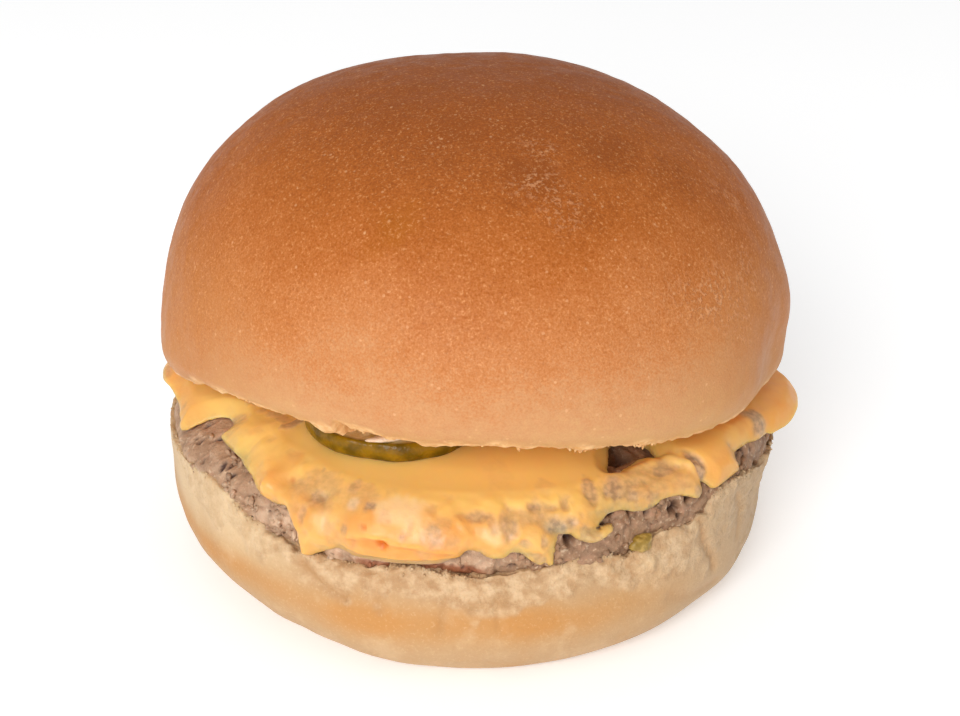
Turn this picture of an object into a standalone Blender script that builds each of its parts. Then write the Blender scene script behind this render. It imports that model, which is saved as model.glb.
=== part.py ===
"""A cheeseburger: bun heel, beef patty, melted cheese slice, pickle slice, onion sliver and bun crown.

The frame's origin is the middle of the heel's flat base, +Z is up, and the open side of the bun faces -Y.
Azimuths run anticlockwise from +X in degrees, so -90 is the front. All lengths are in metres.
"""

import math

import bpy
from mathutils import Matrix, Vector, noise

# Driving dimensions
GAP = 0.0003                      # left between two pieces that touch
FRONT_STEP = 3.75                 # degrees between columns on the front half, where the melted edge shows
BACK_STEP = 7.5                   # degrees between columns on the back half

QUARTER_TURN = math.pi / 2

HEEL_BASE_RADIUS = (              # (azimuth, radius) of the flat disc that the burger stands on
    (-180, 0.0396), (-135, 0.0390), (-90, 0.0420), (-45, 0.0402), (0, 0.0410), (90, 0.0415),
)
HEEL_WIDEST_HEIGHT = 0.0100
HEEL_WIDEST_RADIUS = (            # (azimuth, radius) of the full side
    (-180, 0.0502), (-160, 0.0498), (-135, 0.0487), (-90, 0.0484), (-45, 0.0481), (0, 0.0478),
    (90, 0.0484),
)
HEEL_BASE_INNER = 0.55            # share of the base's radius where its one inner ring of points lies
HEEL_SIDE_STEPS = 5               # rings from the base up to the full side
HEEL_UPPER_SIDE = (0, 0.35, 0.7, 1)   # shares of the way up from the full side to the torn edge
HEEL_CUT_INWARD = (0.0012, 0.0024, 0.0040, 0.0090, 0.0260)    # rings of the cut face, in from its edge
HEEL_CUT_SLOPE = 0.25             # how fast the cut face falls from its edge towards the middle
HEEL_EDGE_RADIUS = (              # (azimuth, radius) of the torn upper edge
    (-180, 0.0506), (-155, 0.0495), (-125, 0.0470), (-90, 0.0461), (-60, 0.0467),
    (-30, 0.0484), (0, 0.0497), (90, 0.0478),
)
HEEL_EDGE_HEIGHT = (              # (azimuth, height) of the torn upper edge
    (-180, 0.0225), (-165, 0.0208), (-156, 0.0196), (-147, 0.0212), (-136, 0.0182), (-112, 0.0189),
    (-84, 0.0187), (-68, 0.0191), (-60, 0.0173), (-50, 0.0200), (-38, 0.0215), (-24, 0.0204),
    (-10, 0.0214), (10, 0.0220), (60, 0.0205), (120, 0.0205),
)

PATTY_BOTTOM = 0.0170
PATTY_TOP = 0.0270
PATTY_CORNER = 0.0036             # rounding between its faces and its side
PATTY_LUMP = 0.0005               # how far the coarse meat stands in and out
PATTY_LUMP_SIZE = 0.0120
PATTY_MEAN_RADIUS = 0.0460        # where the lumps are measured
PATTY_SMOOTH_FROM = 0.0050        # this far in from its corner the top is flat
PATTY_FLAT_RINGS = (0.5, 0.85, 1) # shares of the lower face's radius
PATTY_CORNER_STEPS = 3            # rings round the lower corner
PATTY_UPPER_CORNER = (1, 0.75, 0.5, 0.25, 0)  # shares of the arc from the side to the flat top
PATTY_TOP_INNER = 0.0200          # how far in from the top's edge its last ring lies
PATTY_RADIUS = (                  # (azimuth, radius) of its upper part
    (-180, 0.0473), (-155, 0.0440), (-135, 0.0435), (-115, 0.0456), (-90, 0.0459), (-68, 0.0463),
    (-57, 0.0452), (-46, 0.0461), (0, 0.0470), (60, 0.0458), (120, 0.0461),
)
PATTY_FLARE = (                   # (azimuth, length) that its lower part stands out further
    (-180, 0.0010), (-155, 0.0034), (-135, 0.0032), (-115, 0.0008), (-90, 0.0002), (-45, 0.0006),
    (0, 0.0008), (90, 0.0004),
)

CHEESE_THICKNESS = 0.0023
CHEESE_CLEARANCE = 0.0008         # between the slice and the meat, more than GAP because both are uneven
CHEESE_FLAT_EDGE = -0.0045        # inward of this path length the slice lies flat
CHEESE_FLAT_RINGS = (-0.0250, -0.0090)    # path lengths of the rings on the flat part
CHEESE_DRAPED_RINGS = (0, 0.2, 0.4, 0.6, 0.8, 1)  # shares of the draped part
CHEESE_LEAST_TURN = 0.02          # radians: a slice that bends less is taken to bend this much
CHEESE_OVERHANG = (               # (azimuth, length of slice past the flat top of the patty)
    (-180, 0.0066), (-174, 0.0068), (-168, 0.0050), (-163, 0.0054), (-159, 0.0030), (-156, -0.0012),
    (-153, -0.0020), (-149, 0.0016), (-142, 0.0036), (-135, 0.0050), (-128, 0.0080), (-123, 0.0108),
    (-118, 0.0102), (-113, 0.0084), (-103, 0.0090), (-92, 0.0080), (-83, 0.0088), (-77, 0.0096),
    (-74, 0.0042), (-70, 0.0068), (-65, 0.0036), (-59, 0.0040), (-50, 0.0040), (-45, 0.0030),
    (-40, 0.0064), (-34, 0.0052), (-28, 0.0010), (-22, 0.0006), (-16, 0.0060), (-8, 0.0092),
    (0, 0.0076), (10, 0.0024), (24, 0.0010), (44, 0.0036), (64, 0.0088), (82, 0.0036), (108, 0.0014),
    (134, 0.0026), (160, 0.0034),
)
CHEESE_TURN = (                   # (azimuth, degrees that the slice bends down past the patty's top)
    (-180, -10), (-173, 0), (-164, 80), (-155, 90), (-90, 90), (-28, 90), (-18, 60), (-8, 38), (2, 50),
    (16, 90), (40, 80), (64, 35), (86, 80), (110, 90), (150, 90), (165, 45),
)

PICKLE_CENTRE = (-0.0119, -0.0193)
PICKLE_RADII = (0.0149, 0.0148)
PICKLE_THICKNESS = 0.0030
PICKLE_COLUMNS = 32
PICKLE_PROFILE = (                # (share of the radius, share of the thickness), its skin a little round
    (0.5, 0), (0.93, 0), (1, 0.2), (1, 0.8), (0.94, 1), (0.5, 1),
)
ONION_SIZE = (0.0110, 0.0016, 0.0011)
ONION_PLACE = (-0.0110, -0.0322)
ONION_TURN = 14                   # degrees about the upright
SCRAP_RADII = (0.0021, 0.0010, 0.0013)
SCRAP_AZIMUTH = -58
MORSEL_LATITUDES = (-60, -25, 10, 45, 70)     # degrees, of a small scrap's rings
MORSEL_COLUMNS = 12

CROWN_CENTRE = (-0.0001, 0.0005, 0.0417)
CROWN_RADIUS = (                  # (azimuth, radius) of its widest ring
    (-180, 0.0504), (-135, 0.0488), (-90, 0.0500), (-45, 0.0510), (-10, 0.0507), (20, 0.0492),
    (45, 0.0482), (90, 0.0500), (135, 0.0506), (160, 0.0502),
)
CROWN_SIDE_SAG = 0.0044           # how much lower its widest ring is at the left and the right
CROWN_SAG_REACH = 0.8             # the sag fades out at this share of the height
CROWN_HEIGHT = 0.0380             # of its top above its widest ring
CROWN_FULLNESS = 2.11             # 2 is a true ellipse, more is squarer
CROWN_TILT = (-5.2, 0.4)         # degrees about X and Y: the front is propped open
CROWN_RIM_RADIUS = (              # (azimuth, radius) of the cut edge
    (-180, 0.0487), (-165, 0.0468), (-145, 0.0446), (-90, 0.0443), (-45, 0.0455), (-20, 0.0472),
    (0, 0.0480), (45, 0.0455), (90, 0.0448), (135, 0.0466),
)
CROWN_RIM_HEIGHT = (              # (azimuth, height) of the cut edge above the base
    (-180, 0.0334), (-160, 0.0362), (-140, 0.0390), (-110, 0.0398), (-80, 0.0389), (-60, 0.0366),
    (-40, 0.0340), (-20, 0.0330), (0, 0.0325), (60, 0.0307), (120, 0.0308), (160, 0.0322),
)
CROWN_CUT_RINGS = (0.15, 0.3, 0.45, 0.6, 0.75, 0.9)   # shares of the rim's radius
CROWN_LOWER_STEPS = 3             # rings from the widest ring down to the rim
CROWN_LOWER_TURN = 80             # degrees that the side turns in on the way down to the rim
CROWN_UPPER_STEPS = 10            # rings from the widest ring to the top
CROWN_LAST_RING = (0.06, 0.999)   # share of the radius and of the height, close round the top
CROWN_CUT_CURVE = 1.7             # how the settled cut face climbs to the rim, 1 is straight
CROWN_CUT_DRAPE = 0.0030          # the crumb stays level this far round the pickle slice

CRUST = (0.69, 0.33, 0.12)
CRUMB = (0.76, 0.52, 0.28)
BEEF = (0.38, 0.27, 0.20)
CHEESE = (0.93, 0.52, 0.16)
PICKLE = (0.30, 0.22, 0.04)
ONION = (0.78, 0.70, 0.55)


def columns():
    """Azimuths in degrees round the burger, close together at the front and wider apart at the back."""
    front = [-180 + FRONT_STEP * n for n in range(round(180 / FRONT_STEP))]
    back = [BACK_STEP * n for n in range(round(180 / BACK_STEP))]
    return front + back


def station_slope(before, here, after):
    """Slope of the curve at one station, limited so that the curve never swings past it."""
    arriving = (here[1] - before[1]) / (here[0] - before[0])
    leaving = (after[1] - here[1]) / (after[0] - here[0])
    if arriving * leaving <= 0:
        return 0
    return 2 * arriving * leaving / (arriving + leaving)


def around(azimuth, stations):
    """A smooth closed curve through (azimuth, value) stations, read at one azimuth."""
    ring = [(at - 360, value) for at, value in stations[-2:]]
    ring += stations
    ring += [(at + 360, value) for at, value in stations[:2]]
    for before, start, end, after in zip(ring, ring[1:], ring[2:], ring[3:]):
        if start[0] <= azimuth <= end[0]:
            span = end[0] - start[0]
            part = (azimuth - start[0]) / span
            leaving = station_slope(before, start, end) * span
            arriving = station_slope(start, end, after) * span
            rise = end[1] - start[1]
            return (
                start[1] + part * leaving
                + part ** 2 * (3 * rise - 2 * leaving - arriving)
                + part ** 3 * (leaving + arriving - 2 * rise)
            )
    raise ValueError(azimuth)


def place(azimuth, radius, height):
    """The point at an azimuth, a distance from the upright axis and a height."""
    angle = math.radians(azimuth)
    return Vector((radius * math.cos(angle), radius * math.sin(angle), height))


def finish(name, colour, roughness):
    """A plain food finish."""
    material = bpy.data.materials.new(name)
    material.use_nodes = True
    shader = material.node_tree.nodes["Principled BSDF"]
    shader.inputs["Base Color"].default_value = (*colour, 1)
    shader.inputs["Roughness"].default_value = roughness
    return material


def solid_from_rings(name, rings, material):
    """Skin rings of points, given from the lower middle outwards and back to the upper middle."""
    count = len(rings[0])
    points = [point for ring in rings for point in ring]
    points.append(sum(rings[0], Vector()) / count)
    points.append(sum(rings[-1], Vector()) / count)
    faces = []
    for row in range(len(rings) - 1):
        for n in range(count):
            following = (n + 1) % count
            low, high = row * count, (row + 1) * count
            faces.append((low + n, low + following, high + following, high + n))
    top = (len(rings) - 1) * count
    for n in range(count):
        following = (n + 1) % count
        faces.append((len(points) - 2, following, n))
        faces.append((len(points) - 1, top + n, top + following))
    mesh = bpy.data.meshes.new(name)
    mesh.from_pydata([tuple(point) for point in points], [], faces)
    mesh.materials.append(material)
    mesh.shade_smooth()
    piece = bpy.data.objects.new(name, mesh)
    bpy.context.collection.objects.link(piece)
    return piece


def patty_lump(azimuth, path):
    """How far the coarse meat stands out at an azimuth and a path length along the profile."""
    spot = place(azimuth, PATTY_MEAN_RADIUS, min(path, PATTY_CORNER * QUARTER_TURN)) / PATTY_LUMP_SIZE
    fade = min(max(1 + path / PATTY_SMOOTH_FROM, 0), 1)
    return PATTY_LUMP * 2 * noise.noise(spot) * fade


def patty_point(azimuth, path, outward=0.0):
    """A point on the patty's upper half, a path length out from the flat top's edge, moved outward."""
    flat = around(azimuth, PATTY_RADIUS) - PATTY_CORNER
    away = outward + patty_lump(azimuth, path)
    if path <= 0:
        return place(azimuth, flat + path, PATTY_TOP + away)
    turned = min(path / PATTY_CORNER, QUARTER_TURN)
    below = max(path - PATTY_CORNER * QUARTER_TURN, 0)
    reach = PATTY_CORNER + away
    flare = around(azimuth, PATTY_FLARE) * turned / QUARTER_TURN
    return place(
        azimuth,
        flat + reach * math.sin(turned) + flare,
        PATTY_TOP - PATTY_CORNER + reach * math.cos(turned) - below,
    )


def patty_lower_flat(azimuth):
    """Radius at which the patty's lower face starts to round up into its side."""
    return around(azimuth, PATTY_RADIUS) + around(azimuth, PATTY_FLARE) - PATTY_CORNER


def patty_underside(azimuth, radius):
    """Lowest height that the patty's lumpy lower half reaches at a radius, or None past its side."""
    middle = patty_lower_flat(azimuth)
    side = PATTY_CORNER + PATTY_LUMP + GAP
    across = max(radius - middle, 0) / side
    if across >= 1:
        return None
    return PATTY_BOTTOM + PATTY_CORNER * (1 - math.sqrt(1 - across ** 2))


def make_heel():
    """The lower half of the bun: flat base, full side, torn edge, and a cut face pressed in by the patty."""
    rings = [[place(a, around(a, HEEL_BASE_RADIUS) * HEEL_BASE_INNER, 0) for a in columns()]]
    for step in range(HEEL_SIDE_STEPS):
        angle = step / HEEL_SIDE_STEPS * QUARTER_TURN
        height = HEEL_WIDEST_HEIGHT * (1 - math.cos(angle))
        ring = []
        for azimuth in columns():
            base = around(azimuth, HEEL_BASE_RADIUS)
            fullness = around(azimuth, HEEL_WIDEST_RADIUS) - base
            ring.append(place(azimuth, base + fullness * math.sin(angle), height))
        rings.append(ring)
    for part in HEEL_UPPER_SIDE:
        ring = []
        for azimuth in columns():
            edge_radius = around(azimuth, HEEL_EDGE_RADIUS)
            edge_height = around(azimuth, HEEL_EDGE_HEIGHT)
            widest = around(azimuth, HEEL_WIDEST_RADIUS)
            radius = widest + (edge_radius - widest) * part ** 2
            height = HEEL_WIDEST_HEIGHT + (edge_height - HEEL_WIDEST_HEIGHT) * part
            ring.append(place(azimuth, radius, height))
        rings.append(ring)
    for inward in HEEL_CUT_INWARD:
        ring = []
        for azimuth in columns():
            radius = around(azimuth, HEEL_EDGE_RADIUS) - inward
            height = around(azimuth, HEEL_EDGE_HEIGHT) - HEEL_CUT_SLOPE * inward
            patty = patty_underside(azimuth, radius)
            if patty is not None:
                height = min(height, patty - GAP)
            ring.append(place(azimuth, radius, height))
        rings.append(ring)
    return solid_from_rings("heel", rings, finish("bun heel", CRUMB, 0.8))


def make_patty():
    """The beef patty: a thick round slab with rounded corners and a coarse, uneven side."""
    rings = []
    for share in PATTY_FLAT_RINGS:
        rings.append([
            place(a, patty_lower_flat(a) * share, PATTY_BOTTOM) for a in columns()
        ])
    arc = PATTY_CORNER * QUARTER_TURN
    for step in range(1, PATTY_CORNER_STEPS + 1):
        angle = step / PATTY_CORNER_STEPS * QUARTER_TURN
        ring = []
        for azimuth in columns():
            middle = patty_lower_flat(azimuth)
            lump = patty_lump(azimuth, arc) * step / PATTY_CORNER_STEPS
            ring.append(place(
                azimuth,
                middle + PATTY_CORNER * math.sin(angle) + lump,
                PATTY_BOTTOM + PATTY_CORNER * (1 - math.cos(angle)),
            ))
        rings.append(ring)
    paths = [arc * share for share in PATTY_UPPER_CORNER] + [-PATTY_SMOOTH_FROM, -PATTY_TOP_INNER]
    for path in paths:
        rings.append([patty_point(a, path) for a in columns()])
    return solid_from_rings("patty", rings, finish("ground beef", BEEF, 0.75))


def cheese_point(azimuth, path, outward):
    """A point on the slice: it follows the patty's corner, or bends less where it stands out."""
    if path <= 0:
        return patty_point(azimuth, path, outward)
    corner_length = PATTY_CORNER * QUARTER_TURN
    turn = math.radians(around(azimuth, CHEESE_TURN))
    if abs(turn) < CHEESE_LEAST_TURN:
        turn = CHEESE_LEAST_TURN
    bend_radius = corner_length / turn
    turned = turn * min(path / corner_length, 1)
    straight = max(path - corner_length, 0)
    flat = around(azimuth, PATTY_RADIUS) - PATTY_CORNER
    away = outward + patty_lump(azimuth, path)
    flare = around(azimuth, PATTY_FLARE) * min(path / corner_length, 1)
    return place(
        azimuth,
        flat + (bend_radius + away) * math.sin(turned) + straight * math.cos(turned) + flare,
        PATTY_TOP - bend_radius + (bend_radius + away) * math.cos(turned) - straight * math.sin(turned),
    )


def make_cheese():
    """The melted slice: draped over the patty, with a round lip, hanging lobes and two corners out."""
    near, far = CHEESE_CLEARANCE, CHEESE_CLEARANCE + CHEESE_THICKNESS
    sheet = []
    for outward in (near, far):
        rows = [[cheese_point(a, path, outward) for a in columns()] for path in CHEESE_FLAT_RINGS]
        for share in CHEESE_DRAPED_RINGS:
            row = []
            for azimuth in columns():
                reach = around(azimuth, CHEESE_OVERHANG) - CHEESE_THICKNESS / 2
                path = CHEESE_FLAT_EDGE + (reach - CHEESE_FLAT_EDGE) * share
                row.append(cheese_point(azimuth, path, outward))
            rows.append(row)
        sheet.append(rows)
    lip = [
        cheese_point(a, around(a, CHEESE_OVERHANG), (near + far) / 2) for a in columns()
    ]
    rings = sheet[0] + [lip] + sheet[1][::-1]
    return solid_from_rings("cheese", rings, finish("melted cheese", CHEESE, 0.35))


def make_pickle():
    """A round pickle slice lying on the cheese."""
    base = PATTY_TOP + CHEESE_CLEARANCE + CHEESE_THICKNESS + GAP
    rings = []
    for share, level in PICKLE_PROFILE:
        ring = []
        for n in range(PICKLE_COLUMNS):
            angle = 2 * math.pi * n / PICKLE_COLUMNS
            ring.append(Vector((
                PICKLE_CENTRE[0] + PICKLE_RADII[0] * share * math.cos(angle),
                PICKLE_CENTRE[1] + PICKLE_RADII[1] * share * math.sin(angle),
                base + PICKLE_THICKNESS * level,
            )))
        rings.append(ring)
    return solid_from_rings("pickle_slice", rings, finish("pickle", PICKLE, 0.35))


def make_morsel(name, centre, radii, turn, material):
    """A small rounded scrap with the given half sizes, turned about the upright."""
    rings = []
    for latitude in MORSEL_LATITUDES:
        level = math.radians(latitude)
        ring = []
        for n in range(MORSEL_COLUMNS):
            angle = 2 * math.pi * n / MORSEL_COLUMNS
            point = Vector((
                radii[0] * math.cos(level) * math.cos(angle),
                radii[1] * math.cos(level) * math.sin(angle),
                radii[2] * math.sin(level),
            ))
            ring.append(Matrix.Rotation(math.radians(turn), 3, "Z") @ point + centre)
        rings.append(ring)
    return solid_from_rings(name, rings, material)


def make_onion():
    """A sliver of onion lying on the pickle slice."""
    pickle_top = PATTY_TOP + CHEESE_CLEARANCE + CHEESE_THICKNESS + GAP + PICKLE_THICKNESS
    half = [size / 2 for size in ONION_SIZE]
    centre = Vector((*ONION_PLACE, pickle_top + GAP + half[2]))
    return make_morsel("onion_sliver", centre, half, ONION_TURN, finish("onion", ONION, 0.4))


def make_scrap():
    """A small scrap of pickle caught between the patty and the heel's edge."""
    radius = around(SCRAP_AZIMUTH, PATTY_RADIUS) + PATTY_LUMP + GAP + SCRAP_RADII[1]
    height = around(SCRAP_AZIMUTH, HEEL_EDGE_HEIGHT) + GAP + SCRAP_RADII[2]
    return make_morsel(
        "pickle_scrap",
        place(SCRAP_AZIMUTH, radius, height),
        SCRAP_RADII,
        SCRAP_AZIMUTH + 90,
        finish("pickle scrap", PICKLE, 0.35),
    )


def cut_face_height(point, share):
    """Height of the crown's cut face, which has settled on the slice and over the pickle."""
    slice_top = PATTY_TOP + CHEESE_CLEARANCE + CHEESE_THICKNESS
    settled = slice_top + GAP + (point.z - slice_top - GAP) * share ** CROWN_CUT_CURVE
    pickle_top = slice_top + GAP + PICKLE_THICKNESS
    away = math.dist(point.xy * share, PICKLE_CENTRE) - PICKLE_RADII[0] - CROWN_CUT_DRAPE
    return max(settled, pickle_top + GAP - max(away, 0))


def crown_ring(share, height):
    """One ring of the tilted crown, at a share of its widest radius and a height above that ring."""
    tilt = Matrix.Rotation(math.radians(CROWN_TILT[0]), 3, "X") @ Matrix.Rotation(
        math.radians(CROWN_TILT[1]), 3, "Y"
    )
    ring = []
    for azimuth in columns():
        side = math.cos(math.radians(azimuth)) ** 2
        sag = CROWN_SIDE_SAG * side * max(1 - height / (CROWN_SAG_REACH * CROWN_HEIGHT), 0) ** 2
        point = place(azimuth, around(azimuth, CROWN_RADIUS) * share, height - sag)
        ring.append(tilt @ point + Vector(CROWN_CENTRE))
    return ring


def make_crown():
    """The upper half of the bun: a full dome that rounds in to its cut rim, and its settled cut face."""
    widest = crown_ring(1, 0)
    middle = Vector(CROWN_CENTRE).xy.to_3d()
    rim = [
        place(a, around(a, CROWN_RIM_RADIUS), around(a, CROWN_RIM_HEIGHT)) + middle for a in columns()
    ]
    rings = []
    for share in CROWN_CUT_RINGS:
        rings.append([
            Vector((point.x * share, point.y * share, cut_face_height(point, share))) for point in rim
        ])
    whole_turn = math.radians(CROWN_LOWER_TURN)
    for step in range(CROWN_LOWER_STEPS, 0, -1):
        angle = step / CROWN_LOWER_STEPS * whole_turn
        inward = (1 - math.cos(angle)) / (1 - math.cos(whole_turn))
        downward = math.sin(angle) / math.sin(whole_turn)
        ring = []
        for outer, inner in zip(widest, rim):
            flat = outer.xy.lerp(inner.xy, inward)
            ring.append(Vector((*flat, outer.z + (inner.z - outer.z) * downward)))
        rings.append(ring)
    for step in range(CROWN_UPPER_STEPS):
        angle = step / CROWN_UPPER_STEPS * QUARTER_TURN
        share = math.cos(angle) ** (2 / CROWN_FULLNESS)
        height = CROWN_HEIGHT * math.sin(angle) ** (2 / CROWN_FULLNESS)
        rings.append(crown_ring(share, height))
    rings.append(crown_ring(CROWN_LAST_RING[0], CROWN_HEIGHT * CROWN_LAST_RING[1]))
    return solid_from_rings("crown", rings, finish("bun crown", CRUST, 0.55))


for item in list(bpy.data.objects):
    bpy.data.objects.remove(item)

make_heel()
make_patty()
make_cheese()
make_pickle()
make_onion()
make_scrap()
make_crown()
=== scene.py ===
import itertools
import math

import bpy
import numpy as np
from mathutils import Matrix, Vector, kdtree


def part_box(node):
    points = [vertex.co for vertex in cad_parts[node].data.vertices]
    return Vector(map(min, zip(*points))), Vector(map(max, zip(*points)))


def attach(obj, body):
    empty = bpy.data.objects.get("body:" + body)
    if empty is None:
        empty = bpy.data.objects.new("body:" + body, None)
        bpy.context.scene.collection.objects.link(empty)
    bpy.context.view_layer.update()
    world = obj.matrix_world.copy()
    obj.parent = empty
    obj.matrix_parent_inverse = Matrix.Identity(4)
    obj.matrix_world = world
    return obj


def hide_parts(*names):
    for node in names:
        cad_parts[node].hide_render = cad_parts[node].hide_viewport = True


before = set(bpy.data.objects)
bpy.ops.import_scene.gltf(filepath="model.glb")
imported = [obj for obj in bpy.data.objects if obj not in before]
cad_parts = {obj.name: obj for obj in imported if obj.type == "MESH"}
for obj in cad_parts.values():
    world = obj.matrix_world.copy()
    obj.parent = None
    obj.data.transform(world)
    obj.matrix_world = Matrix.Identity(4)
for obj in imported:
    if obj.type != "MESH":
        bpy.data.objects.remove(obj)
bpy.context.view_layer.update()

# ---------------------------------------------------------------------------------------------
# Heel: the lower half of a soft round bun, baked golden on its side and pale underneath.
# It was sliced by hand, so its upper edge is torn crumb, and the patty has pressed it in.
# Azimuths run anticlockwise from +X in degrees, so -90 is the open front. Shapes are worked
# out in millimetres, and skin() puts them in metres.
# ---------------------------------------------------------------------------------------------
MILLIMETRE = 0.001
FINE_COLUMNS = 400
COARSE_COLUMNS = 150


def around(azimuth, stations):
    """A smooth closed curve through (azimuth, value) stations, read at an array of azimuths."""
    at, value = np.array(stations, float).T
    at = np.concatenate((at[-2:] - 360, at, at[:2] + 360))
    value = np.concatenate((value[-2:], value, value[:2]))
    grade = np.diff(value) / np.diff(at)
    arriving, leaving = grade[:-1], grade[1:]
    steady = arriving * leaving > 0
    slope = np.zeros(len(at))
    slope[1:-1] = np.where(steady, 2 * arriving * leaving / np.where(steady, arriving + leaving, 1), 0)
    start = np.clip(np.searchsorted(at, azimuth, side="right") - 1, 0, len(at) - 2)
    span = at[start + 1] - at[start]
    part = (azimuth - at[start]) / span
    rise = value[start + 1] - value[start]
    first, last = slope[start] * span, slope[start + 1] * span
    cubic = part ** 3 * (first + last - 2 * rise) + part ** 2 * (3 * rise - 2 * first - last)
    return value[start] + part * first + cubic


def azimuths(fine, coarse):
    """Azimuths round the burger: fine columns on the front half and coarse ones on the back half."""
    front = np.linspace(-180, 0, fine, endpoint=False)
    return np.concatenate((front, np.linspace(0, 180, coarse, endpoint=False)))


def place(azimuth, radius, height):
    """Points at azimuths, distances from the upright axis and heights."""
    angle = np.radians(azimuth)
    parts = np.broadcast_arrays(radius * np.cos(angle), radius * np.sin(angle), height)
    return np.stack(parts, -1)


def wobble(points, size, seed):
    """Smooth uneven values from -1 to 1, with bumps of a given size, at an array of points."""
    side = 48
    lattice = np.random.default_rng(seed).uniform(-1, 1, (side, side, side))
    spot = points / size
    cell = np.floor(spot).astype(int)
    part = spot - cell
    part = part ** 3 * (part * (part * 6 - 15) + 10)
    value = 0
    for corner in itertools.product((0, 1), repeat=3):
        share = np.where(corner, part, 1 - part).prod(-1)
        at = (cell + corner) % side
        value = value + share * lattice[at[..., 0], at[..., 1], at[..., 2]]
    return value


def grains(points, size, seed):
    """Distances to the nearest and the next of centres scattered one to a cell, in cell sizes."""
    side = 32
    scatter = np.random.default_rng(seed).uniform(0, 1, (side, side, side, 3))
    spot = points / size
    cell = np.floor(spot).astype(int)
    nearest = np.full(spot.shape[:-1], 9.0)
    following = nearest.copy()
    for step in itertools.product((-1, 0, 1), repeat=3):
        at = (cell + step) % side
        centre = cell + step + scatter[at[..., 0], at[..., 1], at[..., 2]]
        away = np.linalg.norm(spot - centre, axis=-1)
        following = np.minimum(following, np.maximum(nearest, away))
        nearest = np.minimum(nearest, away)
    return nearest, following


def ease(value, low, high):
    """0 below low, 1 above high and a smooth rise between them."""
    part = np.clip((value - low) / (high - low), 0, 1)
    return part * part * (3 - 2 * part)


def facing(grid):
    """Unit normals of a grid of rings, pointing out of the piece."""
    across = np.roll(grid, -1, axis=1) - np.roll(grid, 1, axis=1)
    along = np.gradient(grid, axis=0)
    normal = np.cross(across, along)
    return normal / np.maximum(np.linalg.norm(normal, axis=-1, keepdims=True), 1e-9)


def path_distance(spots, path):
    """Distance from flat spots (x, y) to a path of straight runs through flat points."""
    best = np.full(spots.shape[:-1], 1e9)
    for start, end in zip(np.array(path, float), np.array(path[1:], float)):
        run = end - start
        part = np.clip(((spots - start) @ run) / (run @ run), 0, 1)
        best = np.minimum(best, np.linalg.norm(spots - start - part[..., None] * run, axis=-1))
    return best


def skin(name, points, faces, finish, **looks):
    """A piece from points in millimetres and faces, with named values at its points for its finish."""
    mesh = bpy.data.meshes.new(name)
    mesh.from_pydata((points * MILLIMETRE).tolist(), [], faces)
    for look, values in looks.items():
        mesh.attributes.new(look, "FLOAT", "POINT").data.foreach_set("value", values.ravel())
    mesh.shade_smooth()
    mesh.materials.append(finish)
    piece = bpy.data.objects.new(name, mesh)
    bpy.context.scene.collection.objects.link(piece)
    return piece


def ring_faces(rows, count):
    """Faces of closed rings of points, with a fan over the first ring and one over the last."""
    near = np.arange(rows * count).reshape(rows, count)
    far = np.roll(near, -1, axis=1)
    faces = np.stack((near[:-1], far[:-1], far[1:], near[1:]), -1).reshape(-1, 4).tolist()
    middle = rows * count
    faces += [(middle, b, a) for a, b in zip(near[0].tolist(), far[0].tolist())]
    faces += [(middle + 1, a, b) for a, b in zip(near[-1].tolist(), far[-1].tolist())]
    return faces


def ring_points(grid):
    """The rings' points, then the middles of the first and the last ring."""
    return np.concatenate((grid.reshape(-1, 3), [grid[0].mean(0), grid[-1].mean(0)]))


def with_middles(values):
    """Values at the rings' points, then one for the middle of the first and of the last ring."""
    return np.concatenate((values.ravel(), [values[0].mean(), values[-1].mean()]))


class Wire:
    """An output of a node. Sums and products of wires add their own Math nodes."""

    def __init__(self, nodes, socket):
        self.nodes = nodes
        self.socket = socket

    def math(self, operation, *values):
        return self.nodes.node("ShaderNodeMath", {"operation": operation}, dict(enumerate(values)))

    def __add__(self, other):
        return self.math("ADD", self, other)

    def __sub__(self, other):
        return self.math("SUBTRACT", self, other)

    def __rsub__(self, other):
        return self.math("SUBTRACT", other, self)

    def __mul__(self, other):
        return self.math("MULTIPLY", self, other)

    __radd__ = __add__
    __rmul__ = __mul__


class Nodes:
    """A tree of nodes, written from its first nodes to its last."""

    def __init__(self, tree):
        self.tree = tree

    def node(self, kind, settings, sockets, output=0):
        """Adds a node: its settings first, then its sockets' values or links."""
        made = self.tree.nodes.new(kind)
        for setting, value in settings.items():
            if setting == "stops":
                self.set_stops(made.color_ramp.elements, value)
            else:
                setattr(made, setting, value)
        for key, value in sockets.items():
            self.feed(self.find(made.inputs, key), value)
        return None if output is None else Wire(self, self.find(made.outputs, output))

    def set_stops(self, stops, wanted):
        stops[0].position, stops[0].color = wanted[0][0], (*wanted[0][1], 1)
        stops[1].position, stops[1].color = wanted[-1][0], (*wanted[-1][1], 1)
        for position, colour in wanted[1:-1]:
            stops.new(position).color = (*colour, 1)

    def find(self, sockets, key):
        if isinstance(key, int):
            return sockets[key]
        return next(socket for socket in sockets if key in (socket.identifier, socket.name))

    def feed(self, socket, value):
        if isinstance(value, Wire):
            self.tree.links.new(value.socket, socket)
        elif isinstance(value, list):
            for one in value:
                self.feed(socket, one)
        elif socket.type == "RGBA":
            socket.default_value = (*value, 1)
        else:
            socket.default_value = value


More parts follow.
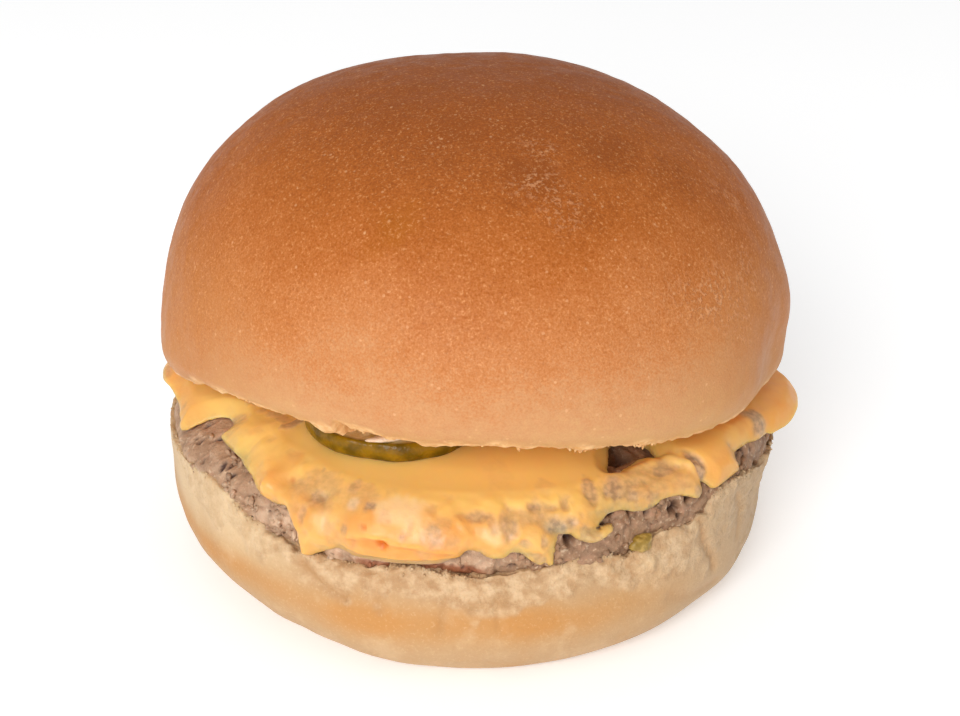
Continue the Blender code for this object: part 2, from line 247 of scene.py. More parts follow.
class Finish(Nodes):
    """A material of one food surface."""

    def __init__(self, name):
        self.material = bpy.data.materials.new(name)
        self.material.use_nodes = True
        super().__init__(self.material.node_tree)
        self.shader = self.tree.nodes["Principled BSDF"]
        self.place = self.node("ShaderNodeTexCoord", {}, {}, "Object")

    def look(self, name):
        """A named value that the piece's points carry."""
        return self.node("ShaderNodeAttribute", {"attribute_name": name}, {}, "Fac")

    def noise(self, size, detail=2.0, roughness=0.5):
        """Soft noise from 0 to 1 with bumps of a size in millimetres."""
        sockets = {"Vector": self.place, "Scale": 1 / (size * MILLIMETRE), "Detail": detail,
                   "Roughness": roughness}
        return self.node("ShaderNodeTexNoise", {}, sockets, "Fac")

    def spots(self, size, feature="F1"):
        """Distance from centres scattered one to a cell of a size in millimetres, in cell sizes."""
        sockets = {"Vector": self.place, "Scale": 1 / (size * MILLIMETRE)}
        return self.node("ShaderNodeTexVoronoi", {"feature": feature}, sockets, "Distance")

    def rise(self, value, low, high):
        """0 below low, 1 above high and a smooth rise between them; falls when high is below low."""
        sockets = {"Value": value, "From Min": low, "From Max": high}
        return self.node("ShaderNodeMapRange", {"interpolation_type": "SMOOTHSTEP"}, sockets)

    def mix(self, share, first, second):
        """The first colour turning into the second as the share goes from 0 to 1."""
        sockets = {"Factor_Float": share, "A_Color": first, "B_Color": second}
        return self.node("ShaderNodeMix", {"data_type": "RGBA"}, sockets, "Result_Color")

    def ramp(self, value, *stops):
        """A colour for each value, through (value, colour) stops."""
        return self.node("ShaderNodeValToRGB", {"stops": stops}, {"Fac": value}, "Color")

    def bump(self, height, depth):
        """A fine relief, as deep in millimetres as the height goes from 0 to 1."""
        sockets = {"Height": height, "Strength": 1.0, "Distance": depth * MILLIMETRE}
        return self.node("ShaderNodeBump", {}, sockets, "Normal")

    def finished(self, colour, roughness, relief, **uniform):
        """Feeds the shader, and sets its other sockets, which are the same all over."""
        self.feed(self.shader.inputs["Base Color"], colour)
        self.feed(self.shader.inputs["Roughness"], roughness)
        self.feed(self.shader.inputs["Normal"], relief)
        for key, value in uniform.items():
            wanted = key.replace("_", " ")
            next(s for s in self.shader.inputs if s.name.lower() == wanted).default_value = value
        return self.material


def paint(red, green, blue):
    """A colour as seen, 0 to 255, as the linear light that shaders use."""
    seen = np.array((red, green, blue)) / 255
    return tuple(np.where(seen <= 0.04045, seen / 12.92, ((seen + 0.055) / 1.055) ** 2.4).tolist())


def strew(piece, density, smallest, largest, seed, fineness=1):
    """Joins scattered crumbs to a piece where its "loose" value is above 0: so many to a square
    millimetre where it is 1, with radii in millimetres. Finer crumbs have more faces."""
    tree = bpy.data.node_groups.new("strewn crumbs", "GeometryNodeTree")
    sizes = {"Density": density / MILLIMETRE ** 2, "Smallest": smallest * MILLIMETRE,
             "Largest": largest * MILLIMETRE}
    tree.interface.new_socket("Geometry", in_out="INPUT", socket_type="NodeSocketGeometry")
    tree.interface.new_socket("Geometry", in_out="OUTPUT", socket_type="NodeSocketGeometry")
    keys = {}
    for name in sizes:
        keys[name] = tree.interface.new_socket(name, in_out="INPUT", socket_type="NodeSocketFloat").identifier
    nodes = Nodes(tree)
    given = {name: nodes.node("NodeGroupInput", {}, {}, name) for name in ("Geometry", *sizes)}
    loose = nodes.node("GeometryNodeInputNamedAttribute", {"data_type": "FLOAT"}, {"Name": "loose"})
    spots = nodes.node("GeometryNodeDistributePointsOnFaces", {}, {
        "Mesh": given["Geometry"], "Density": loose * given["Density"], "Seed": seed}, "Points")
    vector, number = {"data_type": "FLOAT_VECTOR"}, {"data_type": "FLOAT"}
    ball = nodes.node("GeometryNodeMeshIcoSphere", {}, {"Subdivisions": fineness}, "Mesh")
    jolt = nodes.node("FunctionNodeRandomValue", vector, {
        "Min": (-0.4, -0.4, -0.4), "Max": (0.4, 0.4, 0.4), "Seed": seed}, "Value")
    crumb = nodes.node("GeometryNodeSetPosition", {}, {"Geometry": ball, "Offset": jolt})
    turn = nodes.node("FunctionNodeRandomValue", vector, {
        "Min": (0, 0, 0), "Max": (math.tau, math.tau, math.tau), "Seed": seed + 1}, "Value")
    shape = nodes.node("FunctionNodeRandomValue", vector, {
        "Min": (0.6, 0.5, 0.4), "Max": (1.4, 1.0, 0.8), "Seed": seed + 2}, "Value")
    size = nodes.node("FunctionNodeRandomValue", number, {
        "Min_001": given["Smallest"], "Max_001": given["Largest"], "Seed": seed + 3}, "Value_001")
    scale = nodes.node("ShaderNodeVectorMath", {"operation": "SCALE"}, {"Vector": shape, "Scale": size})
    crumbs = nodes.node("GeometryNodeInstanceOnPoints", {}, {
        "Points": spots, "Instance": crumb, "Rotation": turn, "Scale": scale})
    both = nodes.node("GeometryNodeJoinGeometry", {}, {"Geometry": [given["Geometry"], crumbs]})
    whole = nodes.node("GeometryNodeRealizeInstances", {}, {"Geometry": both})
    smooth = nodes.node("GeometryNodeSetShadeSmooth", {}, {"Geometry": whole})
    last = nodes.node("GeometryNodeSetMaterial", {}, {"Geometry": smooth, "Material": piece.data.materials[0]})
    nodes.node("NodeGroupOutput", {}, {"Geometry": last}, None)
    modifier = piece.modifiers.new("crumbs", "NODES")
    modifier.node_group = tree
    for name, value in sizes.items():
        modifier[keys[name]] = value
    made = bpy.data.meshes.new_from_object(piece.evaluated_get(bpy.context.evaluated_depsgraph_get()))
    piece.modifiers.clear()
    piece.data = made


HEEL_BASE_RADIUS = ((-180, 38.4), (-135, 38.0), (-90, 42.0), (-45, 40.2), (0, 41.0), (90, 41.5))
HEEL_WIDEST_HEIGHT = ((-180, 12.5), (-140, 12.0), (-100, 10.0), (100, 10.0), (140, 11.5))
HEEL_WIDEST_RADIUS = (
    (-180, 50.6), (-160, 50.0), (-135, 48.8), (-90, 48.4), (-45, 48.1), (0, 47.8), (90, 48.4),
)
HEEL_EDGE_RADIUS = (
    (-180, 50.3), (-165, 50.2), (-150, 49.0), (-125, 47.2), (-90, 46.1), (-60, 46.7), (-40, 48.2),
    (-20, 49.2), (0, 49.6), (90, 47.8),
)
HEEL_EDGE_HEIGHT = (
    (-180, 22.8), (-165, 22.8), (-156, 22.8), (-148, 23.4), (-140, 22.6), (-137, 20.6), (-130, 19.4),
    (-124, 18.4), (-112, 18.7), (-106.2, 18.8),
    (-104.6, 20.0), (-103.2, 18.8), (-84, 18.7), (-74, 19.6), (-66, 20.2), (-61, 18.6), (-55, 21.0), (-48, 20.6),
    (-43, 20.6), (-40.5, 23.2), (-36, 23.8), (-28, 22.4), (-18, 20.8), (-8, 20.8), (10, 22.0), (60, 20.5),
    (120, 20.5), (165, 23.0),
)
HEEL_CUT_SLOPE = 0.05             # how fast the cut face falls from its edge towards the middle
HEEL_TORN_DEPTH = (               # (azimuth, how far below the edge the bare crumb reaches)
    (-180, 0.4), (-166, 1.0), (-156, 4.0), (-146, 7.0), (-136, 5.0), (-125, 1.8), (-119, 4.2), (-90, 4.8), (-60, 5.5),
    (-46, 8.0), (-40, 12.0), (-30, 12.0), (-8, 9.0), (30, 4.0), (120, 3.0),
)
HEEL_CREASES = (                  # ((azimuth, height) along it, half width, depth)
    (((-107.5, 17.5), (-107.0, 12.5)), 0.8, 0.35),
    (((-95.5, 14.5), (-96.0, 10.0)), 0.8, 0.35),
    (((-86.5, 15.0), (-86.0, 10.5)), 0.6, 0.2),
    (((-122.5, 17.0), (-118.5, 15.0), (-113.5, 13.2)), 0.9, 0.5),
    (((-45.0, 20.5), (-43.5, 16.0), (-41.0, 12.5), (-40.0, 10.0)), 0.8, 0.45),
    (((-52.0, 9.0), (-46.0, 6.5), (-38.0, 6.0)), 1.2, 0.3),
    (((-33.0, 20.0), (-30.0, 16.0), (-31.0, 12.0)), 1.0, 0.3),
    (((-150.0, 16.0), (-144.0, 9.0)), 1.6, 0.15),
    (((60.0, 17.0), (68.0, 9.0)), 1.5, 0.5),
    (((135.0, 16.0), (131.0, 10.0)), 1.2, 0.4),
)
TUFT = (-57.5, 16.8, 1.9, 1.5)    # a pale tuft of torn crumb: azimuth, height and half sizes

columns = azimuths(FINE_COLUMNS, COARSE_COLUMNS)
base_radius = around(columns, HEEL_BASE_RADIUS)
widest = around(columns, HEEL_WIDEST_RADIUS)
widest_height = around(columns, HEEL_WIDEST_HEIGHT)
edge_radius = around(columns, HEEL_EDGE_RADIUS)
edge_height = around(columns, HEEL_EDGE_HEIGHT)
rings = [place(columns, base_radius * share, 0) for share in np.linspace(0.2, 0.98, 6)]
for angle in np.linspace(0, math.pi / 2, 30, endpoint=False):
    radius = base_radius + (widest - base_radius) * math.sin(angle)
    rings.append(place(columns, radius, widest_height * (1 - math.cos(angle))))
for part in np.linspace(0, 1, 34):
    height = widest_height + (edge_height - widest_height) * part
    rings.append(place(columns, widest + (edge_radius - widest) * part ** 2, height))
heel_edge_row = len(rings) - 1
for inward in (*np.arange(0.3, 5.5, 0.35), 8.0, 14.0, 24.0, 34.0):
    rings.append(place(columns, edge_radius - inward, edge_height - HEEL_CUT_SLOPE * inward))
heel = np.array(rings)
row = np.arange(len(heel))[:, None]
below_edge = edge_height - heel[..., 2]
on_cut_face = row > heel_edge_row
standing = ease(heel[..., 2], 0.0, 3.0)
torn = around(columns, HEEL_TORN_DEPTH) * (1 + 0.5 * wobble(heel, 4.0, 11)) + 1.2 * wobble(heel, 1.6, 12)
crumb = np.where(on_cut_face, 1.0, ease(torn - below_edge, -0.8, 0.8))
relief = 0.35 * wobble(heel, 14.0, 1) + 0.16 * wobble(heel, 5.0, 2)
pores, _ = grains(heel, 1.5, 3)
folds = wobble(heel * (1, 1, 0.3), 2.6, 9)
flakes = wobble(heel * (1, 1, 2.2), 1.9, 10)
rough = 1 - 0.7 * ease(columns, -128, -146)
relief = relief + rough * crumb * (0.26 * folds + 0.2 * flakes + 0.08 * (pores - 0.55) + 0.1 * wobble(heel, 0.9, 5))
spread = np.stack((columns * 0.84 + 0 * heel[..., 2], heel[..., 2]), -1)
# Each crease is dented, and also painted darker as shade, as deep as it is dented.
crease_shade = np.zeros(heel.shape[:2])
for path, half_width, depth in HEEL_CREASES:
    away = path_distance(spread, [(azimuth * 0.84, height) for azimuth, height in path])
    dent = np.exp(-(away / half_width) ** 2) * ~on_cut_face
    relief = relief - depth * dent
    crease_shade = np.maximum(crease_shade, depth * dent)
near_edge = np.exp(-(np.maximum(below_edge, 0) / 1.6) ** 2)
tuft = np.exp(-((columns - TUFT[0]) / TUFT[2]) ** 2 - ((heel[..., 2] - TUFT[1]) / TUFT[3]) ** 2)
relief = relief + tuft * (0.8 + 1.1 * wobble(heel, 1.1, 16))
relief = relief + rough * near_edge * crumb * (0.4 * wobble(heel, 1.0, 14) + 0.25 * wobble(heel, 0.55, 15))
ragged = rough * near_edge * (0.5 * wobble(heel, 3.2, 6) + 0.3 * wobble(heel, 1.1, 7))
normal = facing(heel)
heel = heel + normal * (relief * standing)[..., None]
heel[..., 2] += ragged * standing
front_band = 0.4 + 0.6 * ease(columns, -180, -152) * ease(columns, -50, -80)
gold = np.exp(-((heel[..., 2] - 11.0) / 3.6) ** 2) * front_band * (0.85 + 0.4 * wobble(heel, 8.0, 8))
# Painted shade: the heel's right front is painted greyer and darker, as the light falls from the left.
greyer = ease(columns, -58, -40) * ease(columns, 30, -10) + 0 * heel[..., 2]
bitty = ease(wobble(heel, 5.0, 13), -0.3, 0.4)
floury = (ease(columns, -118, -142) * (1 - 0.5 * ease(columns, -158, -170)) + ease(columns, 120, 150))
floury = np.maximum(floury * ease(heel[..., 2], 11, 18), tuft)

bread = Finish("heel bread")
skin_tone = bread.ramp(bread.look("gold"), (0.0, paint(189, 154, 114)), (0.5, paint(192, 148, 99)),
                       (1.0, paint(194, 138, 77)))
cloud = bread.noise(6.0, 4.0, 0.55)
skin_tone = bread.mix(bread.rise(cloud, 0.5, 0.75) * 0.35, skin_tone, paint(188, 138, 84))
skin_tone = bread.mix(bread.rise(cloud, 0.5, 0.3) * 0.35, skin_tone, paint(214, 182, 142))
skin_tone = bread.mix(bread.look("floury") * 0.6, skin_tone, paint(226, 196, 152))
crumb_tone = bread.mix(bread.rise(bread.noise(2.6, 4.0, 0.6), 0.36, 0.68), paint(182, 142, 100),
                       paint(220, 189, 150))
tone = bread.mix(bread.look("crumb") * 0.75, skin_tone, crumb_tone)
tone = bread.mix(bread.look("floury") * 0.45, tone, paint(214, 186, 146))
# painted shade on the right front
tone = bread.mix(bread.look("greyer") * 0.7, tone, paint(188, 160, 126))
# painted shade in the creases
tone = bread.mix(bread.look("crease") * 1.2, tone, paint(178, 132, 84))
fine = bread.noise(0.45, 3.0, 0.6)
tone = bread.mix(bread.rise(fine, 0.55, 0.72) * 0.2, tone, paint(232, 202, 160))
tone = bread.mix(bread.rise(fine, 0.45, 0.3) * 0.2, tone, paint(178, 132, 86))
relief = bread.bump((bread.noise(1.0, 4.0, 0.6) + fine * 0.3) * (bread.look("crumb") * 0.6 + 0.5), 0.28)
bread_finish = bread.finished(tone, 0.62, relief, specular_ior_level=0.3, subsurface_weight=0.12,
                              subsurface_scale=0.0015, subsurface_radius=(1.0, 0.6, 0.35))
heel_piece = skin(
    "heel_bread", ring_points(heel), ring_faces(len(heel), len(columns)), bread_finish,
    crumb=with_middles(crumb), gold=with_middles(np.clip(gold, 0, 1)), greyer=with_middles(greyer),
    crease=with_middles(crease_shade), floury=with_middles(floury),
    loose=with_middles(np.exp(-(below_edge / 0.4) ** 2) * bitty),
)
strew(heel_piece, 1.6, 0.15, 0.42, 1)
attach(heel_piece, "root")
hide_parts("heel")

# ---------------------------------------------------------------------------------------------
# Patty: coarse ground beef pressed into a thick round and fried, grey-brown and moist.
# Its side is all lumps and crevices, with pits where fat ran out; the crevices and pits are painted dark as shade.
# ---------------------------------------------------------------------------------------------
PATTY_BOTTOM = 17.0
PATTY_TOP = 27.0
PATTY_CORNER = 3.6
PATTY_ARC = PATTY_CORNER * math.pi / 2
PATTY_RADIUS = (
    (-180, 48.3), (-168, 46.2), (-155, 44.1), (-135, 43.5), (-115, 45.6), (-90, 45.9), (-68, 46.3), (-57, 45.2),
    (-46, 46.1), (0, 47.0), (60, 45.8), (120, 46.1),
)
PATTY_FLARE = (                   # (azimuth, length that its lower part stands out further)
    (-180, 1.2), (-168, 3.2), (-155, 5.0), (-135, 4.0), (-115, 1.0), (-90, 0.2), (-60, 0.6), (-40, 1.5),
    (-15, 1.8), (10, 1.4), (90, 0.4),
)
NODULES = (                       # (azimuth, height, half size, how far it stands out) of single lumps
    (-75.3, 24.2, 1.3, 0.9), (-74.3, 22.4, 1.2, 0.7), (-75.8, 20.9, 1.0, 0.6), (-88.3, 20.6, 1.4, 0.7),
    (-62.5, 25.2, 1.6, 0.8), (-56.0, 23.8, 1.8, 0.7), (-49.5, 24.6, 1.5, 0.8), (-25.5, 25.6, 2.2, 0.8),
    (-149.0, 24.0, 2.6, 0.7), (-141.0, 23.0, 2.0, 0.7), (-158.0, 23.5, 2.0, 0.6), (-146.0, 26.0, 1.6, 0.6),
)
PITS = (                          # (azimuth, height, half size, depth) of single pits, painted dark as shade
    (-50.6, 23.9, 0.95, 2.0), (-49.6, 22.1, 0.55, 1.3), (-47.5, 24.9, 0.6, 1.2), (-28.2, 26.0, 0.7, 1.5),
    (-23.9, 21.4, 0.8, 1.5), (-25.5, 22.8, 0.5, 1.0), (-66.1, 24.7, 0.5, 1.2), (-73.2, 23.9, 0.9, 2.0),
    (-72.0, 24.9, 0.5, 1.0), (-146.1, 25.1, 0.5, 0.3), (-144.6, 25.4, 0.35, 0.3), (-142.8, 24.9, 0.35, 0.3),
    (-157.5, 25.1, 0.35, 0.8), (-155.0, 26.3, 0.35, 0.8), (-160.6, 26.4, 0.3, 0.6), (-152.0, 24.2, 0.3, 0.6),
    (-135.8, 20.4, 0.3, 0.5), (-132.9, 19.9, 0.35, 0.6), (-131.5, 22.6, 0.25, 0.5), (-128.2, 21.0, 0.25, 0.4),
    (-64.0, 26.0, 0.45, 0.9), (-60.4, 25.4, 0.4, 0.9), (-57.0, 24.6, 0.35, 0.8), (-54.5, 25.4, 0.4, 0.8),
    (-83.4, 19.6, 0.6, 0.9), (-79.0, 19.8, 0.5, 0.8), (-43.5, 25.2, 0.4, 0.9),
)
HOLE_PIT = (21.3, -25.4, 2.6, 3.6)   # a deep pit in the top, painted dark as shade: x, y, half size and depth
JUICE = (-112.0, -88.0, 20.4)     # red-brown painted shadow of the gap under the cheese's lip, from one azimuth to another, up to a height
patty_columns = azimuths(560, 160)


def drape(azimuth, path, outward, turn=90.0):
    """Points on the patty's upper half: path lengths out from its flat top's edge, moved outward.
    A sheet that turns less than a right angle stands out instead of following the corner."""
    turn = np.radians(turn)
    turn = np.where(abs(turn) < 0.02, 0.02, turn)
    bend = PATTY_ARC / turn
    share = np.clip(path / PATTY_ARC, 0, 1)
    straight = np.maximum(path - PATTY_ARC, 0)
    flat = around(azimuth, PATTY_RADIUS) - PATTY_CORNER
    curved = flat + (bend + outward) * np.sin(turn * share) + straight * np.cos(turn * share)
    radius = np.where(path <= 0, flat + path, curved + around(azimuth, PATTY_FLARE) * share)
    lower = PATTY_TOP - bend + (bend + outward) * np.cos(turn * share) - straight * np.sin(turn * share)
    return place(azimuth, radius, np.where(path <= 0, PATTY_TOP + outward, lower))


flat = around(patty_columns, PATTY_RADIUS) - PATTY_CORNER
lower_flat = flat + around(patty_columns, PATTY_FLARE)
rings = [place(patty_columns, lower_flat * share, PATTY_BOTTOM) for share in (0.4, 0.8, 0.9, 0.96, 1)]
for angle in np.linspace(0, math.pi / 2, 16)[1:]:
    radius = lower_flat + PATTY_CORNER * math.sin(angle)
    rings.append(place(patty_columns, radius, PATTY_BOTTOM + PATTY_CORNER * (1 - math.cos(angle))))
side_end = PATTY_ARC + PATTY_TOP - PATTY_BOTTOM - 2 * PATTY_CORNER
for path in (*np.arange(side_end - 0.35, -9.0, -0.35), -12.0, -18.0, -28.0):
    rings.append(drape(patty_columns, np.full(len(patty_columns), path), 0.0))
patty = np.array(rings)
normal = facing(patty)
warped = patty + 1.2 * np.stack([wobble(patty, 4.0, seed) for seed in (21, 22, 23)], -1)
near, following = grains(warped * (1, 1, 1.25), 4.2, 24)
small_near, small_following = grains(warped, 1.9, 25)
smooth_side = 1 - 0.45 * ease(patty_columns, -122, -138)
crevice = ease(following - near, 0.22, 0.0) * smooth_side
small_crevice = ease(small_following - small_near, 0.16, 0.0)
relief = 0.5 * wobble(patty, 9.0, 26) + 0.4 * (0.45 - near) - 0.28 * crevice
relief = relief + smooth_side * (0.22 * (0.45 - small_near) - 0.1 * small_crevice)
relief = relief + smooth_side * (0.14 * wobble(patty, 1.1, 27) + 0.1 * wobble(patty, 0.6, 29))
# Painted shade: the crevices, pinholes, pits and the hole in the top are painted dark.
dark = 0.22 * crevice + 0.08 * small_crevice * smooth_side
for azimuth, height, half, out in NODULES:
    centre = place(azimuth, 46.0, height)
    swell = np.exp(-(np.linalg.norm(patty - centre, axis=-1) / half / 1.2) ** 2)
    relief = relief + out * swell
holes, _ = grains(patty + 50, 2.6, 28)
pinholes = ease(holes, 0.16, 0.09)
relief = relief - 0.35 * pinholes
dark = np.maximum(dark, 0.75 * pinholes)
heights = patty[..., 2]
for azimuth, height, half, depth in PITS:
    spot = np.stack(((patty_columns - azimuth) * 0.8 + 0 * heights, heights - height), -1)
    spot = spot + 0.25 * np.stack((wobble(patty, 0.8, 31), wobble(patty, 0.8, 32)), -1)
    pit = ease(np.linalg.norm(spot, axis=-1) / half, 1.5, 0.5) * (heights > 19)
    relief = relief - depth * pit
    dark = np.maximum(dark, pit)
centre_x, centre_y, half, depth = HOLE_PIT
hole = ease(np.hypot(patty[..., 0] - centre_x, patty[..., 1] - centre_y) / half, 1.1, 0.6) * (heights > 22)
relief = relief - depth * hole
dark = np.maximum(dark, hole)
# Painted shadow: a red-brown band low on the front, in the gap under the cheese's lip.
first, last, level = JUICE
juice = ease(patty_columns, first - 2, first + 2) * ease(patty_columns, last + 2, last - 2)
juice = juice * ease(heights + 0.6 * wobble(patty, 1.5, 30), level + 0.5, level - 0.6)
fade = ease(np.linalg.norm(patty[..., :2], axis=-1), 26.0, 31.0)
patty = patty + normal * (relief * fade)[..., None]

beef = Finish("ground beef")
grain = beef.noise(0.7, 3.0, 0.6)
tone = beef.mix(beef.rise(beef.noise(2.6, 3.0), 0.35, 0.68), paint(188, 151, 120), paint(220, 184, 152))
tone = beef.mix(beef.look("seared") * 0.85, tone, paint(148, 110, 78))
tone = beef.mix(beef.rise(beef.noise(1.6, 3.0), 0.5, 0.75) * 0.5, tone, paint(190, 140, 108))
tone = beef.mix(beef.rise(grain, 0.55, 0.72) * 0.6, tone, paint(228, 200, 168))
tone = beef.mix(beef.rise(grain, 0.44, 0.26) * 0.36, tone, paint(124, 86, 60))
# red-brown painted shadow of the gap
tone = beef.mix(beef.look("juice") * 0.85, tone, paint(136, 66, 22))
# painted shade in the crevices and pits
tone = beef.mix(beef.look("dark"), tone, paint(66, 36, 25))
relief = beef.bump(beef.noise(0.7, 4.0, 0.65), 0.3)
beef_finish = beef.finished(tone, beef.rise(beef.noise(1.5), 0.2, 0.8) * 0.25 + 0.42, relief,
                            subsurface_weight=0.12, subsurface_scale=0.001, subsurface_radius=(1.0, 0.5, 0.35))
seared = ease(patty_columns, -100, -75) * ease(patty_columns, 60, 20) + 0 * heights
seared = np.maximum(seared, 0.5 * ease(patty_columns, -122, -136))
bitty = ease(wobble(patty, 4.0, 33), -0.5, 0.3) * ease(patty_columns, -158, -148) * ease(patty_columns, 0, -20)
patty_piece = skin("patty_beef", ring_points(patty), ring_faces(len(patty), len(patty_columns)),
                   beef_finish, dark=with_middles(np.clip(dark, 0, 1)), juice=with_middles(juice),
                   seared=with_middles(seared),
                   loose=with_middles(bitty * (heights < PATTY_TOP - 0.6)))
strew(patty_piece, 0.36, 0.35, 0.8, 5, 2)
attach(patty_piece, "root")
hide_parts("patty")

# ---------------------------------------------------------------------------------------------
# Cheese: one square slice of processed cheese that melted over the hot patty. It hangs in lobes,
# stands out at two corners, is torn open beside the crown, and shows the meat where it is thin.
# ---------------------------------------------------------------------------------------------
CHEESE_THICKNESS = 2.3
CHEESE_CLEARANCE = 0.45           # the melted slice lies this far off the meat's mean face
CHEESE_LIP = 1.3                  # its edge is rounded over this width
CHEESE_EDGE = (                   # (azimuth, length of slice past the flat top of the patty)
    (-180, 6.0), (-176.5, 5.6), (-174.0, 4.6), (-171.5, 4.0), (-169, 3.7), (-165.5, 4.0), (-163.2, 4.4),
    (-161.6, 3.9), (-160.9, 2.6), (-160.2, 1.0), (-158.5, 0.4), (-155.5, 0.6), (-153.9, 1.3),
    (-153.1, 2.0), (-150.8, 2.1), (-144.2, 2.3), (-141.2, 2.7), (-138, 3.1), (-135.2, 3.8), (-133, 4.2),
    (-129.2, 4.4), (-127, 4.2), (-124.8, 5.1), (-123.8, 5.9), (-123.1, 8.3), (-122.3, 10.2),
    (-121.2, 10.4), (-119.2, 9.5), (-116.8, 8.4), (-114.8, 7.8), (-113.6, 8.0), (-112.3, 8.5),
    (-108, 8.7), (-102.8, 8.6), (-97, 8.2), (-94.6, 7.4), (-92.8, 6.7), (-91.3, 5.6), (-89.5, 5.9), (-88.2, 6.7), (-86.5, 7.1),
    (-85, 7.0), (-83.5, 6.1), (-82, 6.4), (-80.5, 7.5), (-78.5, 8.6), (-77.6, 8.2), (-76.9, 8.9),
    (-76.3, 8.8), (-75.8, 5.6), (-75.2, 4.2), (-73.4, 4.3), (-71, 4.8), (-69.4, 4.7), (-67.4, 3.8),
    (-64.8, 2.9), (-62.8, 3.0), (-61, 3.4), (-59.8, 3.8), (-56, 4.3), (-54.8, 4.0), (-51.8, 3.5),
    (-49.5, 3.7), (-47.8, 4.1), (-45.5, 4.8), (-44.5, 4.4), (-43.6, 3.1), (-42.8, 3.6), (-42, 4.4),
    (-40.5, 4.7), (-38.2, 4.6), (-33.2, 4.5), (-32.3, 3.2), (-31.2, 2.7), (-26.5, 3.0), (-24.5, 3.5), (-22, 4.0),
    (-20.6, 4.2), (-19.6, 4.4), (-18.9, 4.9), (-16.5, 5.6), (-14.2, 6.6), (-11.5, 7.4), (-7.8, 7.9),
    (-3, 8.0), (-0.8, 7.0), (1.5, 5.6), (6, 4.4), (12, 2.4), (24, 1.2), (44, 3.6), (64, 8.4), (82, 3.6),
    (108, 1.4), (134, 2.6), (160, 3.4), (172, 5.0),
)
CHEESE_TURN = (                   # (azimuth, degrees that the slice bends down past the patty's top)
    (-180, -22), (-174, -12), (-169, 35), (-164, 80), (-155, 90), (-90, 90), (-28, 90), (-18, 60), (-8, 22), (2, 30),
    (16, 90), (40, 80), (64, 35), (86, 80), (110, 90), (150, 90), (165, 45),
)
TEAR = (                          # (azimuth, path) round the torn hole beside the crown
    (-51.2, -9.6), (-54.5, -7.0), (-57.8, -4.5), (-59.0, -3.0), (-57.2, -2.4), (-55.2, -3.1), (-52.8, -3.5),
    (-50.0, -4.3), (-48.0, -4.1), (-47.0, -3.1), (-46.3, -2.6), (-45.2, -4.2), (-43.8, -6.0), (-43.5, -9.0),
    (-46.5, -11.0),
)
CURL = ((-72.2, 3.9), (-71.0, 4.7), (-69.6, 5.1), (-67.9, 4.9), (-66.2, 4.45))   # the curled tongue
CURL_HALF = 1.0
THIN_PLACES = (                   # (azimuth, path, half across, half along, share of meat that shows)
    (-178.0, 5.8, 1.8, 1.1, 0.45), (-176.8, 3.6, 0.5, 0.4, 0.9), (-171.5, -1.2, 3.6, 0.7, 0.6),
    (-166.5, 3.0, 0.45, 0.30, 0.35), (-158.5, -3.6, 1.3, 1.1, 0.75), (-153.5, -3.2, 0.9, 0.8, 0.35),
    (-142.2, -5.0, 0.9, 2.2, 0.7), (-156.6, 1.0, 1.2, 0.9, 0.8), (-151.5, 1.2, 1.0, 1.0, 0.3),
    (-123.2, -0.2, 0.5, 0.3, 0.5), (-118.2, 0.5, 1.0, 0.6, 0.3), (-120.5, 2.2, 1.4, 0.55, 0.7),
    (-121.0, 1.4, 4.0, 1.6, 0.42), (-113.0, 1.0, 3.4, 1.2, 0.34), (-148.0, -4.2, 4.0, 1.0, 0.45),
    (-155.5, 0.2, 1.6, 0.8, 0.5),
    (-122.0, 4.0, 0.6, 0.8, 0.45), (-114.5, 0.5, 0.9, 1.0, 0.55), (-109.5, 2.1, 0.75, 0.4, 0.95),
    (-113.0, 4.3, 0.6, 0.35, 0.5), (-102.3, 4.1, 0.5, 0.3, 0.5), (-96.8, 3.8, 1.5, 0.75, 0.5),
    (-94.2, 4.2, 1.0, 0.4, 0.35), (-90.0, 2.1, 2.0, 0.45, 0.6), (-84.2, 2.8, 1.1, 1.3, 0.6),
    (-79.2, 1.2, 1.0, 0.4, 0.8), (-79.4, 2.2, 2.4, 0.8, 0.4), (-75.0, 3.3, 1.8, 0.8, 0.85),
    (-67.2, 0.1, 1.0, 1.8, 0.7), (-62.0, 0.9, 1.9, 1.0, 0.8), (-59.2, 2.2, 1.4, 0.6, 0.75),
    (-67.0, 2.6, 0.8, 0.35, 0.35), (-50.5, 0.7, 2.2, 0.7, 0.7), (-47.0, 1.0, 0.4, 0.25, 0.6),
    (-43.4, 1.9, 0.8, 1.4, 1.0), (-45.3, 4.0, 0.8, 0.7, 0.6), (-81.5, 4.7, 0.6, 0.35, 0.5),
    (-75.8, -1.8, 1.1, 1.7, 0.16), (-85.0, -4.8, 2.2, 3.0, 0.10), (-21.8, 2.4, 1.4, 1.7, 0.85),
    (-32.8, 2.0, 0.6, 0.12, 0.4), (-55.5, 2.9, 1.4, 0.5, 0.55), (-56.5, 1.2, 8.0, 2.0, 0.42), (-57.0, 0.9, 1.0, 0.5, 0.5),
)
DEEP_PLACES = (                   # the same for places painted a deep orange as shade: under the crown's rim, in hollows and below the shelf's crest
    (-105.9, 4.95, 0.85, 0.45, 1.0), (-109.0, 3.8, 0.3, 0.15, 0.7), (-131.5, 1.0, 1.8, 1.2, 0.18),
    (-128.0, 1.9, 0.35, 0.16, 0.6), (-24.0, -1.5, 5.0, 2.5, 0.6), (-33.0, -3.5, 5.0, 2.0, 0.65),
    (-55.0, -1.6, 3.0, 0.8, 0.3), (-50.0, -1.4, 2.0, 0.8, 0.35), (-103.0, 5.6, 7.0, 0.8, 0.22),
    (-108.5, 5.2, 2.6, 0.5, 0.35),
)
